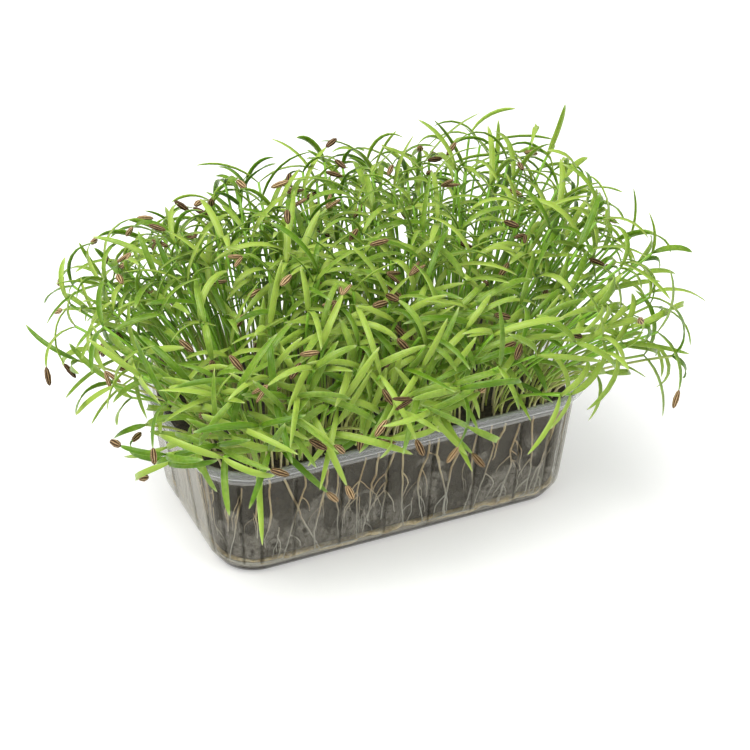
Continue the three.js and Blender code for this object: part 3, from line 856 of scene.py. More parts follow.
@dataclass(frozen=True)
class PaperSweep(Finish):
    """The floor: matt white paper, lit a little from below so that shadows on it stay light."""

    name: str = "paper_sweep"
    white: str = "#e6e6e5"
    glow: float = 0.3
    roughness: float = 0.9

    def shader(self, add: NodeMaker) -> bpy.types.Node:
        """Lay plain matt white."""
        lit = {"Emission Color": "#ffffff", "Emission Strength": self.glow}
        return add("BsdfPrincipled", {"Base Color": self.white, "Roughness": self.roughness} | lit)


# ---------------------------------------------------------------------------------------------------
# The punnet, the medium and the roots
# ---------------------------------------------------------------------------------------------------


@dataclass
class SubAssembly:
    """A part of the whole that is fitted to the tray's outline."""

    outline: Outline

    @property
    def size(self) -> TraySize:
        """The tray's sizes."""
        return self.outline.size


@dataclass
class Punnet(SubAssembly):
    """The clear thermoformed tray: one thin sheet from its floor to its rolled rim, in millimetres."""

    sheet_thickness: float = 0.5
    around: int = 480
    # How far in from the foot the floor's outer rings lie.
    floor_edge: tuple[float, float] = (6.0, 0.6)
    foot_steps: int = 5
    foot_start: float = 0.4
    foot_overrun: float = 0.2
    foot_clearance: float = 0.12
    # A groove fades in over the foot's last steps and out over this height below the shoulder.
    groove_in_steps: int = 3
    groove_out: float = 1.5
    wall_levels: tuple[float, ...] = (9.0, 16.0, 24.0, 32.0, 40.0, 44.0, 46.0)
    # The shoulder's bend: how far down it starts, then its points, in from the band and up.
    bend_start: float = 0.3
    shoulder_bend: tuple[tuple[float, float], ...] = ((0.7, 0.0), (0.15, 0.25), (0.0, 0.9))
    # Heights of the band's upper rings below the rim.
    band_rings: tuple[float, ...] = (3.2, 1.6)
    # How far the lip's lower edge curls in, and over what height.
    lip_curl: tuple[float, float] = (0.25, 0.5)
    bead_steps: int = 6
    rim_bead: float = 0.9

    def groove_middles(self) -> Iterator[float]:
        """Find the grooves.

        Returns:
            Each groove's distance along the sweep's reference outline.
        """
        size = self.size
        arc = (size.corner_radius - REFERENCE_INSET) * math.pi / 2
        sides = [(2 * size.core_y, size.grooves_short_side), (2 * size.core_x, size.grooves_long_side)] * 2
        start = 0.0
        for length, count in sides:
            for run, grooves in ((length, count), (arc, size.grooves_corner)):
                for i in range(grooves):
                    yield start + run * (i + 0.5) / grooves
                start += run

    def groove_depth(self, distance: float) -> float:
        """Find how deep a groove is at a place on the wall.

        Args:
            distance: the place, along the reference outline.

        Returns:
            The wall's inward depth.
        """
        total = self.outline.length(REFERENCE_INSET)
        half_width = self.size.groove_half_width
        gaps = (abs((distance - middle + total / 2) % total - total / 2) for middle in self.groove_middles())
        nearest = min(gaps)
        return self.size.groove_depth * (0.5 + 0.5 * math.cos(math.pi * min(nearest / half_width, 1)))

    def profile(self) -> list[ProfilePoint]:
        """Draw the sheet's outer face.

        Returns:
            Its section, from the floor's middle to the lip's lower edge.
        """
        size = self.size
        foot = size.wall_inset(0)
        points = [ProfilePoint(size.corner_radius, 0, core=core) for core in (0, 0.5, 1)]
        points += [ProfilePoint(foot + inward, 0) for inward in self.floor_edge]
        # The foot's bevel, softened where it meets the floor and the wall.
        foot_z = self.foot_start, size.foot_height + self.foot_overrun
        for i in range(self.foot_steps + 1):
            z = between(foot_z, i / self.foot_steps)
            groove = clamp(1 - (self.foot_steps - i) / self.groove_in_steps)
            points.append(ProfilePoint(size.wall_inset(z) + self.foot_clearance, z, groove=groove))
        for z in self.wall_levels:
            groove = clamp((size.wall_top_z - z) / self.groove_out)
            points.append(ProfilePoint(size.wall_inset(z), z, groove=groove))
        # The wall turns out in a soft shoulder and goes on as a plain band.
        band, bend, top = size.flange, size.wall_top_z, size.height
        points.append(ProfilePoint(band + size.shoulder, bend - self.bend_start))
        points += [ProfilePoint(band + inward, bend + up) for inward, up in self.shoulder_bend]
        points += [ProfilePoint(band, top - down) for down in self.band_rings]
        # The rim turns out and down in a rounded bead.
        for i in range(self.bead_steps + 1):
            angle = math.pi * (1 - i / self.bead_steps)
            inset = band / 2 * (1 + math.cos(angle))
            points.append(ProfilePoint(inset, top - self.rim_bead + math.sin(angle) * self.rim_bead))
        lip = top - size.lip_drop
        inward, down = self.lip_curl
        return points + [ProfilePoint(0.0, lip + down), ProfilePoint(inward, lip)]

    def build(self) -> list[bpy.types.Object]:
        """Make the tray.

        Returns:
            Its one piece.
        """
        bm = Sweep(self.outline, self.around).build(self.profile(), self.groove_depth)
        piece = make_piece("tray_sheet", bm, [ThermoformedPet().material()], Slot.CLEAR_PLASTIC, "tray")
        sheet = piece.modifiers.new("sheet", "SOLIDIFY")
        sheet.thickness = self.sheet_thickness * MM
        sheet.offset = -1
        return [piece]


@dataclass
class Medium(SubAssembly):
    """The block of damp peat that fills the tray, with a crumbly top, in millimetres."""

    around: int = 260
    lump_height: float = 1.1
    side_lump_height: float = 0.45
    lump_size: float = 5.0
    # How many fine lumps go on a coarse one, and their share of the rise.
    fine_lumps: float = 3.3
    fine_lump_share: float = 0.35
    side_swell: float = 0.2
    # The upper edge's bevel, inwards and down, and how far in the level top starts.
    edge_bevel: tuple[float, float] = (0.5, 0.6)
    edge_run: float = 1.5
    edge_steps: int = 9
    middle_steps: int = 14
    crumbs: int = 420
    crumb_seed: int = 4242
    crumb_radius: tuple[float, float] = (0.35, 1.15)
    crumb_margin: float = 2.0
    crumb_rise: float = 0.3
    crumb_width: tuple[float, float] = (0.6, 1.0)
    crumb_height: tuple[float, float] = (0.5, 0.8)

    def profile(self) -> list[ProfilePoint]:
        """Draw the block's face.

        Returns:
            Its section, from its underside's middle to its top's middle.
        """
        size = self.size
        low = size.wall + size.fit_gap * 2 + size.mat_thickness
        bottom = size.wall_inset(0) + size.soil_inset + size.wall
        points = [ProfilePoint(size.corner_radius, low, core=0), ProfilePoint(size.corner_radius, low)]
        points.append(ProfilePoint(bottom, low))
        for z in range(int(size.foot_height) + 1, int(size.soil_top), 2):
            points.append(ProfilePoint(size.wall_inset(z) + size.soil_inset - self.side_swell, z))
        edge = size.wall_inset(size.soil_top) + size.soil_inset
        inward, drop = self.edge_bevel
        points.append(ProfilePoint(edge + inward, size.soil_top - drop))
        for i in range(self.edge_steps + 1):
            inset = between((edge + self.edge_run, size.corner_radius), i / self.edge_steps)
            points.append(ProfilePoint(inset, size.soil_top))
        for i in range(1, self.middle_steps + 1):
            points.append(ProfilePoint(size.corner_radius, size.soil_top, core=1 - i / self.middle_steps))
        return points

    def lump(self, place: Vector) -> float:
        """Find how the surface rises or dips.

        Args:
            place: where, on the surface.

        Returns:
            The rise, from -1 to 1.
        """
        coarse = noise.noise(place / self.lump_size)
        # The fine lumps are shifted off the coarse ones.
        fine = noise.noise(place / (self.lump_size / self.fine_lumps) + Vector((7.1, 3.3, 1.7)))
        return between((coarse, fine), self.fine_lump_share)

    def add_crumbs(self, bm: bmesh.types.BMesh) -> None:
        """Scatter crumbs over the top.

        Args:
            bm: the block's mesh.
        """
        random = RandomStream(self.crumb_seed)
        edge = self.size.wall_inset(self.size.soil_top) + self.size.soil_inset
        for _ in range(self.crumbs):
            x = random.within(-1, 1) * (self.size.rim_length / 2 - edge - self.crumb_margin)
            y = random.within(-1, 1) * (self.size.rim_width / 2 - edge - self.crumb_margin)
            radius = between(self.crumb_radius, random() ** 2)
            spin = random() * math.tau
            turn = Matrix.Rotation(spin, 4, Vector((random(), random(), random())).normalized())
            if self.outline.outside(x, y) > -edge - self.edge_run:
                continue
            place = Vector((x, y, self.size.soil_top))
            place.z += self.lump_height * self.lump(place) + radius * self.crumb_rise
            width, height = random.within(*self.crumb_width), random.within(*self.crumb_height)
            squash = Matrix.Diagonal((1, width, height, 1))
            matrix = Matrix.Translation(place) @ turn @ squash
            bmesh.ops.create_icosphere(bm, subdivisions=1, radius=radius, matrix=matrix)

    def build(self) -> list[bpy.types.Object]:
        """Make the medium.

        Returns:
            Its one piece.
        """
        bm = Sweep(self.outline, self.around).build(self.profile())
        bm.normal_update()
        for vert in bm.verts:
            amount = self.lump_height if vert.normal.z > 0.5 else self.side_lump_height
            vert.co += vert.normal * amount * self.lump(vert.co.copy())
        self.add_crumbs(bm)
        finishes = [DampPeat().material()]
        return [make_piece("peat_block", bm, finishes, Slot.GROWING_MEDIUM, "growing_medium")]


@dataclass(frozen=True)
class RootRun:
    """A root's course on the wall: distances along the outline and heights, with its thickness.

    Attributes:
        points: pairs of distance along the outline and height.
        radius: its thickest radius.
    """

    points: tuple[tuple[float, float], ...]
    radius: float


@dataclass
class Roots(SubAssembly):
    """The felt on the floor with its roll round the foot, and the roots that run down the wall."""

    around: int = 300
    main_roots: int = 66
    root_jitter: float = 0.45
    root_top: tuple[float, float] = (0.3, 5)
    foot_share: float = 0.6
    fine_roots: int = 60
    ring_roots: int = 14
    steps: int = 16
    kink_chance: float = 0.3
    first_lean: float = 0.3
    kink_lean: float = 0.55
    kink_share: tuple[float, float] = (0.2, 1.0)
    wobble: float = 0.09
    branch_chance: float = 0.55
    branch_start: tuple[float, float] = (0.1, 0.8)
    branch_reach: tuple[float, float] = (1.5, 7)
    branch_fall: tuple[float, float] = (5, 20)
    branch_girth: tuple[float, float] = (0.4, 0.75)
    branch_turn: float = 2.6
    branch_end: float = 4.0
    fine_top: tuple[float, float] = (16, 40)
    fine_fall: tuple[float, float] = (8, 26)
    short_end: tuple[float, float] = (12, 32)
    ring_length: tuple[float, float] = (45, 150)
    ring_step: float = 3
    ring_sway: float = 1.6
    ring_wobble: float = 0.6
    radius: tuple[float, float] = (0.3, 0.56)
    fine_radius: tuple[float, float] = (0.12, 0.24)
    ring_radius: tuple[float, float] = (0.25, 0.42)
    roll_height: float = 3.9
    roll_radius: float = 1.7
    roll_steps: int = 6
    felt_gap: float = 0.15
    edge_gap: float = 0.4
    roll_gap: float = 0.35
    # Where the roll slopes down to the floor's felt, in from its edge and up from its top.
    roll_slope: tuple[tuple[float, float], ...] = ((5, 1.5), (9, 0))
    under_ring: float = 3.0
    # The felt's underside stays flat up to this height, and above it gives way by this share of its waves.
    flat_height: float = 0.5
    give: float = 0.4
    waviness: float = 1.6
    wave_length: float = 9.0
    ripple_length: float = 2.6
    ripple_share: float = 0.6
    tip_thinning: float = 0.6
    thinning_power: float = 1.5
    # How far in the roots keep, as a share of a groove's depth.
    groove_share: float = 0.7
    random: RandomStream = field(default_factory=lambda: RandomStream(31))

    def felt(self) -> bpy.types.Object:
        """Make the felt, with an uneven roll against the wall just above the foot.

        Returns:
            The piece.
        """
        size = self.size
        low = size.wall + self.felt_gap
        edge = size.wall_inset(low) + size.wall + self.edge_gap
        points = [ProfilePoint(size.corner_radius, low, core=0), ProfilePoint(size.corner_radius, low)]
        points += [ProfilePoint(edge + self.under_ring, low), ProfilePoint(edge, low)]
        for i in range(self.roll_steps + 1):
            angle = math.pi * (i / self.roll_steps - 0.5)
            z = self.roll_height + self.roll_radius * math.sin(angle)
            inward = self.roll_radius * (1 - math.cos(angle))
            points.append(ProfilePoint(size.wall_inset(z) + size.wall + self.roll_gap + inward, z))
        top = low + size.mat_thickness
        points += [ProfilePoint(edge + inward, top + up) for inward, up in self.roll_slope]
        points += [ProfilePoint(size.corner_radius, top), ProfilePoint(size.corner_radius, top, core=0)]
        bm = Sweep(self.outline, self.around).build(points)
        for vert in bm.verts:
            if vert.co.z > low + self.flat_height:
                rise = noise.noise(vert.co / self.wave_length)
                rise += self.ripple_share * noise.noise(vert.co / self.ripple_length)
                vert.co.z += self.waviness * rise
                # Where that leads into the sloping foot, the felt gives way inwards.
                x, y = vert.co.x, vert.co.y
                least = size.wall_inset(vert.co.z) + size.wall
                give = max(self.give * abs(rise), least + self.outline.outside(x, y))
                core = Vector((clamp(x, -size.core_x, size.core_x), clamp(y, -size.core_y, size.core_y), 0))
                vert.co += (core - Vector((x, y, 0))).normalized() * give
        return make_piece("root_felt", bm, [RootFelt().material()], Slot.ROOT, "root_mat")

    def wander(self, distance: float, top: float, low: float, radius: float) -> RootRun:
        """Let a root run down the wall, straight for a while between kinks.

        Args:
            distance: where it starts along the outline.
            top: the height that it starts from.
            low: the height that it ends at.
            radius: its thickest radius.

        Returns:
            Its course.
        """
        random = self.random
        lean = random.within(-self.first_lean, self.first_lean)
        points = []
        for i in range(self.steps + 1):
            share = i / self.steps
            points.append((distance, top + (low - top) * share))
            if random() < self.kink_chance:
                lean = random.within(-self.kink_lean, self.kink_lean) * random.within(*self.kink_share)
            distance += (lean + random.within(-self.wobble, self.wobble)) * (top - low) / self.steps
        return RootRun(tuple(points), radius)

    def branch(self, parent: RootRun) -> RootRun:
        """Let a thinner root leave another one sideways and then run down.

        Args:
            parent: the root that it leaves.

        Returns:
            Its course.
        """
        random = self.random
        start = parent.points[int(random.within(*self.branch_start) * self.steps)]
        side = random.within(*self.branch_reach) * (1 if random() < 0.5 else -1)
        end = max(self.branch_end, start[1] - random.within(*self.branch_fall))
        run = self.wander(start[0], start[1], end, parent.radius * random.within(*self.branch_girth))
        spread = [1 - math.exp(-self.branch_turn * i / self.steps) for i in range(self.steps + 1)]
        points = [(at + side * grown, z) for (at, z), grown in zip(run.points, spread)]
        return RootRun(tuple(points), run.radius)

    def circle(self, start: float, length: float) -> RootRun:
        """Let a root run along the foot.

        Args:
            start: where it starts along the outline.
            length: how far it runs.

        Returns:
            Its course.
        """
        random = self.random
        steps = int(length / self.ring_step)
        height = self.roll_height + random.within(-1, 1)
        points = []
        for i in range(steps + 1):
            low, high = self.roll_height - self.ring_sway, self.roll_height + self.ring_sway
            height = clamp(height + random.within(-self.ring_wobble, self.ring_wobble), low, high)
            points.append((start + length * i / steps, height))
        return RootRun(tuple(points), between(self.ring_radius, random()))

    def runs(self) -> Iterator[RootRun]:
        """Lay out every root on the wall.

        Returns:
            The courses of main roots, their branches, fine roots, and those round the foot.
        """
        random = self.random
        reference = self.outline.length(self.reference_inset)
        for i in range(self.main_roots):
            jitter = random.within(-self.root_jitter, self.root_jitter)
            distance = reference * (i + jitter) / self.main_roots
            top = self.size.soil_top - random.within(*self.root_top) * random()
            low = self.roll_height if random() < self.foot_share else random.within(*self.short_end)
            run = self.wander(distance, top, low, between(self.radius, random()))
            yield run
            while random() < self.branch_chance:
                yield self.branch(run)
        for _ in range(self.fine_roots):
            top = random.within(*self.fine_top)
            low = max(self.roll_height, top - random.within(*self.fine_fall))
            run = self.wander(random.within(0, reference), top, low, between(self.fine_radius, random()))
            yield run
            yield self.branch(run)
        for _ in range(self.ring_roots):
            yield self.circle(random.within(0, reference), random.within(*self.ring_length))

    @property
    def reference_inset(self) -> float:
        """Inset of the outline that root distances are measured on."""
        return self.size.wall_inset(self.size.soil_top / 2) + self.size.strand_inset

    def place(self, distance: float, z: float, radius: float) -> Vector:
        """Find a point just inside the wall.

        Args:
            distance: how far along the outline.
            z: its height.
            radius: the root's radius there.

        Returns:
            The point.
        """
        size = self.size
        inset = size.wall_inset(z) + size.wall + size.groove_depth * self.groove_share + radius
        share = distance / self.outline.length(self.reference_inset)
        point, _ = self.outline.along(share * self.outline.length(inset), inset)
        return Vector((point.x, point.y, z))

    def strands(self) -> bpy.types.Object:
        """Make the roots on the wall, as round cords that thin towards their tips.

        Returns:
            The piece.
        """
        curve = bpy.data.curves.new("wall_roots_path", "CURVE")
        curve.dimensions = "3D"
        curve.bevel_depth = MM
        curve.bevel_resolution = 1
        curve.use_fill_caps = True
        for run in self.runs():
            spline = curve.splines.new("POLY")
            spline.points.add(len(run.points) - 1)
            for i, (distance, z) in enumerate(run.points):
                spline.points[i].co = (*(self.place(distance, z, run.radius) * MM), 1)
                thinning = self.tip_thinning * (i / len(run.points)) ** self.thinning_power
                spline.points[i].radius = run.radius * (1 - thinning)
        holder = bpy.data.objects.new("wall_roots_path", curve)
        bpy.context.scene.collection.objects.link(holder)
        made = bpy.data.meshes.new_from_object(holder.evaluated_get(bpy.context.evaluated_depsgraph_get()))
        bm = bmesh.new()
        bm.from_mesh(made)
        bpy.data.objects.remove(holder)
        bpy.data.meshes.remove(made)
        bmesh.ops.scale(bm, vec=(1 / MM, 1 / MM, 1 / MM), verts=bm.verts)
        return make_piece("wall_roots", bm, [RootSkin().material()], Slot.ROOT, "root_mat")

    def build(self) -> list[bpy.types.Object]:
        """Make the felt and the roots on the wall."""
        return [self.felt(), self.strands()]


# ---------------------------------------------------------------------------------------------------
# The crop
# ---------------------------------------------------------------------------------------------------


@dataclass(frozen=True)
class GrowthRule:
    """How seedlings stand, in millimetres and degrees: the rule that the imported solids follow."""

    seed: int = 48
    plug_radius: float = 6.4
    root_reach: tuple[float, float] = (0.4, 0.66)
    clump_pitch: float = 20.0
    row_spacing: float = 18.0
    first_row_inset: float = 9.0
    ring_offset: float = 0.25
    per_clump: int = 4
    root_scatter: float = 0.4
    stem_radius: float = 0.75
    stem_length: tuple[float, float] = (48.0, 71.0)
    edge_shortening: float = 0.42
    back_growth: float = 0.1
    right_growth: float = 0.11
    stem_sink: float = 3.0
    stem_bow: float = 1.7
    least_rise: float = 3.0
    fork_share: float = 0.85
    edge_lean: float = 34.0
    lean_growth: float = 1.3
    lean_scatter: float = 15.0
    blade_length: tuple[float, float] = (25.0, 36.0)
    blade_shrink: float = 0.35
    blade_width: float = 3.4
    blade_foot: float = 0.35
    blade_ends: float = 0.4
    blade_steps: int = 12
    blade_opening: tuple[float, float] = (20.0, 58.0)
    blade_bend: tuple[float, float] = (35.0, 120.0)
    blade_twist: float = 50.0
    blade_swing: float = 0.5
    hull_share: float = 0.3
    hull_drift: float = 0.0
    hull_length: float = 6.6
    hull_radius: float = 1.3
    clearance: float = 0.45
    rim_clearance: float = 2.0
    ground_clearance: float = 4.0
    stem_samples: int = 24

    def half_width(self, share: float) -> float:
        """Find a packed blade's half width.

        Args:
            share: how far along the blade.

        Returns:
            The half width.
        """
        ends, foot = self.blade_ends, self.blade_foot
        rise = 1 - (1 - share / ends) ** 2 if share < ends else 1.0
        fall = math.sqrt(max(0.0, 1 - ((share - (1 - ends)) / ends) ** 2)) if share > 1 - ends else 1.0
        return self.blade_width / 2 * (foot + (1 - foot) * rise) * fall


@dataclass(frozen=True)
class Planting:
    """A part of the crop that grows by one rule.

    Attributes:
        rule: how its seedlings stand.
        seed: start of the stream that scatters its roots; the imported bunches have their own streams.
        count: how many are scattered; 0 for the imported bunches.
        edge_margin: how far in from the medium's edge the first of them root.
        edge_band: how far in the last of them root.
        slack: how far its leaves may brush into others.
        beyond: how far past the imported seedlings' box its leaves may reach.
        draws: how often a stem or leaf is drawn before it is given up.
    """

    rule: GrowthRule
    seed: int = 0
    count: int = 0
    edge_margin: float = 2.0
    edge_band: float = 100.0
    slack: float = 0.0
    beyond: float = math.inf
    draws: int = 150


@dataclass(frozen=True)
class Sample:
    """A point of a stem or a blade, with its radius."""

    point: Vector
    radius: float


@dataclass
class Crowd:
    """Samples of what already stands, held by the cells of a grid that they can reach.

    Attributes:
        cell: the grid's pitch.
        clearance: the gap to keep.
        near: each cell's samples with their owners.
    """

    cell: float
    clearance: float
    near: defaultdict[tuple[int, int, int], list[tuple[Sample, int]]] = field(
        default_factory=lambda: defaultdict(list)
    )

    def cell_of(self, point: Vector) -> tuple[int, int, int]:
        """Return the grid cell that holds a point."""
        cell = self.cell
        return math.floor(point.x / cell), math.floor(point.y / cell), math.floor(point.z / cell)

    def is_clear(self, samples: Sequence[Sample], owner: int, slack: float) -> bool:
        """Tell whether samples are clear of every other owner's samples.

        Args:
            samples: what would join the crowd.
            owner: whose they are.
            slack: how much overlap is let pass.

        Returns:
            True if they are.
        """
        for sample in samples:
            for other, other_owner in self.near.get(self.cell_of(sample.point), ()):
                if other_owner == owner:
                    continue
                least = sample.radius + other.radius + self.clearance - slack
                if (sample.point - other.point).length_squared < least * least:
                    return False
        return True

    def add(self, samples: Sequence[Sample], owner: int) -> None:
        """Take samples in.

        Args:
            samples: what joins the crowd.
            owner: whose they are.
        """
        for sample in samples:
            i, j, k = self.cell_of(sample.point)
            for a in (i - 1, i, i + 1):
                for b in (j - 1, j, j + 1):
                    for c in (k - 1, k, k + 1):
                        self.near[(a, b, c)].append((sample, owner))


@dataclass
class Stem:
    """A stem's line from its root to its fork, and the frame of its two blades."""

    base: Vector
    reach: Vector
    rise: float
    bow: float
    away: Vector = field(default_factory=Vector)
    along: Vector = field(default_factory=Vector)
    side: Vector = field(default_factory=Vector)

    def at(self, share: float) -> Vector:
        """Return the point at a share of the stem's height; below 0 it goes straight down."""
        bow = max(share, 0.0) ** self.bow
        return self.base + self.reach * bow + UP * (self.rise * share)

    @property
    def fork(self) -> Vector:
        """The stem's top, where its blades part."""
        return self.at(1.0)


@dataclass
class Blade:
    """A seed leaf's middle line, the side of the stem it is on, its twist, and whether it holds a hull."""

    sign: int
    hull: bool
    twist: float
    points: list[Vector]


@dataclass
class Seedling:
    """One seedling and the bunch that it belongs to."""

    clump: int
    rule: GrowthRule
    stem: Stem | None
    random: RandomStream
    hulled: int
    blades: list[Blade | None] = field(default_factory=list)


@dataclass
class Grower(SubAssembly):
    """Grows the crop: every stem of a planting first, then a first and a second blade on each of them.

    Attributes:
        rule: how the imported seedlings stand.
        box: the lowest and highest corner of what they fill.
        owners: how many seedlings have been tried.
    """

    rule: GrowthRule
    box: Sequence[Vector]
    owners: int = 0

    def __post_init__(self) -> None:
        """Start an empty crowd and find the bunches' places."""
        self.crowd = Crowd(self.rule.blade_width + self.rule.clearance, self.rule.clearance)
        self.clumps = list(self.clump_places())

    @property
    def soil_edge(self) -> float:
        """Inset of the medium's upper edge."""
        return self.size.wall_inset(self.size.soil_top) + self.size.soil_inset

    def clump_places(self) -> Iterator[Vector]:
        """Place the bunches: a ring along the edge, a row on each long side of it, a middle row.

        Returns:
            The bunches' middles.
        """
        rule, size = self.rule, self.size
        ring_inset = self.soil_edge + rule.first_row_inset
        row_inset = ring_inset + rule.row_spacing
        ring_length = self.outline.length(ring_inset)
        ring_count = round(ring_length / rule.clump_pitch)
        for i in range(ring_count):
            yield self.outline.along(ring_length * (i + rule.ring_offset) / ring_count, ring_inset)[0]
        half_length = size.rim_length / 2 - row_inset
        row_y = size.rim_width / 2 - row_inset
        for half, y in ((half_length, row_y), (half_length, -row_y), (half_length - rule.row_spacing, 0.0)):
            gaps = math.floor(2 * half / rule.clump_pitch + 0.5)
            for i in range(gaps + 1):
                yield Vector((half * (2 * i / gaps - 1), y, 0))

    def draw_stem(self, rule: GrowthRule, base: Vector, random: RandomStream) -> Stem:
        """Draw a stem.

        Args:
            rule: how it stands: leaning outwards and shorter towards the edge, longer to the right and back.
            base: its root.
            random: the seedling's own stream.

        Returns:
            The stem.
        """
        size = self.size
        middle_line = (size.rim_length - size.rim_width) / 2
        from_line = base.x - clamp(base.x, -middle_line, middle_line)
        distance = max(math.hypot(from_line, base.y), 1e-6)
        near = distance / (size.rim_width / 2)
        lean = rule.edge_lean * near**rule.lean_growth
        dx = from_line / distance * lean + (random() - 0.5) * rule.lean_scatter
        dy = base.y / distance * lean + (random() - 0.5) * rule.lean_scatter
        growth = 1 + 2 * rule.right_growth * base.x / size.rim_length
        growth += 2 * rule.back_growth * base.y / size.rim_width
        shortening = 1 - rule.edge_shortening * near * near * random()
        length = between(rule.stem_length, random()) * growth * shortening
        rise = math.sqrt(max(length * length - dx * dx - dy * dy, rule.least_rise**2))
        stem = Stem(base, Vector((dx, dy, 0)), rise, rule.stem_bow)
        stem.along = (stem.fork - stem.at(rule.fork_share)).normalized()
        heading = math.tau * random()
        away = Vector((math.cos(heading), math.sin(heading), 0))
        stem.away = (away - stem.along * away.dot(stem.along)).normalized()
        stem.side = stem.along.cross(stem.away)
        return stem

    def stem_samples(self, stem: Stem) -> list[Sample]:
        """Return samples along a stem."""
        count = self.rule.stem_samples
        return [Sample(stem.at(i / count), self.rule.stem_radius) for i in range(1, count + 1)]

    def draw_blade(self, seedling: Seedling, sign: int, hull: bool, shrink: float) -> Blade:
        """Draw a blade that leaves the fork at an angle and curls on away from the stem's line.

        Args:
            seedling: the seedling that carries it.
            sign: 1 or -1, the side of the fork.
            hull: whether the seed's hull is still on its tip.
            shrink: share of its drawn length.

        Returns:
            The blade.
        """
        rule, stem, random = seedling.rule, seedling.stem, seedling.random
        length = between(rule.blade_length, random()) * shrink
        opening = math.radians(between(rule.blade_opening, random()))
        bend = math.radians(between(rule.blade_bend, random()))
        twist = (2 * random() - 1) * math.radians(rule.blade_twist)
        swing = (random() - 0.5) * rule.blade_swing
        points = [stem.fork]
        for i in range(1, rule.blade_steps + (3 if hull else 1)):
            share = (i - 0.5) / rule.blade_steps
            angle = opening + bend * min(share, 1.0)
            step = length / rule.blade_steps if i <= rule.blade_steps else rule.hull_length / 2
            heading = stem.along * math.cos(angle) + stem.away * (sign * math.sin(angle))
            heading += stem.side * (swing * share)
            points.append(points[-1] + heading.normalized() * step)
        return Blade(sign, hull, twist, points)

    def blade_samples(self, blade: Blade) -> list[Sample]:
        """Take samples along a blade, beyond its stalk.

        Args:
            blade: the blade.

        Returns:
            Its samples.
        """
        rule = self.rule
        samples = []
        for i, point in enumerate(blade.points[2:], start=2):
            radius = rule.half_width(i / rule.blade_steps) if i < rule.blade_steps else rule.hull_radius
            samples.append(Sample(point, radius))
        return samples

    def clear_of_rim(self, samples: Sequence[Sample]) -> bool:
        """Tell whether samples are well inside or outside the flange and off the ground.

        Args:
            samples: what was drawn.

        Returns:
            True if they are.
        """
        rule, size = self.rule, self.size
        for sample in samples:
            point = sample.point
            if point.z > size.height + rule.rim_clearance:
                continue
            out = self.outline.outside(point.x, point.y)
            margin = size.flange + size.wall + sample.radius + rule.clearance
            inside = out < -margin and point.z > size.soil_top
            if point.z <= rule.ground_clearance or not (inside or out > rule.rim_clearance + sample.radius):
                return False
        return True

    def in_box(self, samples: Sequence[Sample], beyond: float) -> bool:
        """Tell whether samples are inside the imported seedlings' box, or not far beyond it.

        Args:
            samples: what was drawn.
            beyond: how far outside the box they may be.

        Returns:
            True if they are.
        """
        low, high = self.box
        for sample in samples:
            if any(p < a - beyond or p > b + beyond for p, a, b in zip(sample.point, low, high)):
                return False
        return True

    def draw_clear(
        self,
        owner: int,
        planting: Planting,
        draw: Callable[[float], Stem | Blade],
        samples_of: Callable[[Stem | Blade], list[Sample]],
    ) -> Stem | Blade | None:
        """Draw until what is drawn is clear of the rim and of the crowd, which it then joins.

        Args:
            owner: the seedling's number.
            planting: how often to try, and how near others it may come.
            draw: makes one, given the share of draws used up.
            samples_of: gives its samples.

        Returns:
            What was drawn, or None.
        """
        for turn in range(planting.draws):
            drawn = draw(turn / planting.draws)
            samples = samples_of(drawn)
            kept_in = self.clear_of_rim(samples) and self.in_box(samples, planting.beyond)
            if kept_in and self.crowd.is_clear(samples, owner, planting.slack):
                self.crowd.add(samples, owner)
                return drawn
        return None

    def packed_roots(self) -> Iterator[tuple[int, Vector]]:
        """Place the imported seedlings.

        Returns:
            Each one's bunch and root.
        """
        rule = self.rule
        for clump, place in enumerate(self.clumps):
            random = RandomStream(rule.seed + clump)
            start = math.tau * random()
            for i in range(rule.per_clump):
                angle = start + math.tau * (i + rule.root_scatter * random()) / rule.per_clump
                reach = rule.plug_radius * between(rule.root_reach, random())
                x = place.x + reach * math.cos(angle)
                y = place.y + reach * math.sin(angle)
                yield clump, Vector((x, y, self.size.soil_top))

    def scattered_roots(self, planting: Planting) -> Iterator[tuple[int, Vector]]:
        """Scatter a planting over the medium.

        Args:
            planting: how many, and how far in from the edge.

        Returns:
            Each one's nearest bunch, and its root.
        """
        random = RandomStream(planting.seed)
        made = 0
        while made < planting.count:
            x = random.within(-0.5, 0.5) * self.size.rim_length
            y = random.within(-0.5, 0.5) * self.size.rim_width
            depth = -self.outline.outside(x, y) - self.soil_edge
            if planting.edge_margin < depth < planting.edge_band:
                made += 1
                gaps = [math.hypot(clump.x - x, clump.y - y) for clump in self.clumps]
                yield gaps.index(min(gaps)), Vector((x, y, self.size.soil_top))

    def grow(self, planting: Planting) -> list[Seedling]:
        """Grow one planting.

        Args:
            planting: what grows.

        Returns:
            Its seedlings.
        """
        roots = self.scattered_roots(planting) if planting.count else self.packed_roots()
        first_owner = self.owners
        seedlings: list[Seedling] = []
        for clump, base in roots:
            owner = first_owner + len(seedlings)
            random = RandomStream(planting.rule.seed * (owner + 2))

            def draw(_: float, at: Vector = base, stream: RandomStream = random) -> Stem:
                """Draw a stem, by the same rule however long the wait."""
                return self.draw_stem(planting.rule, at, stream)

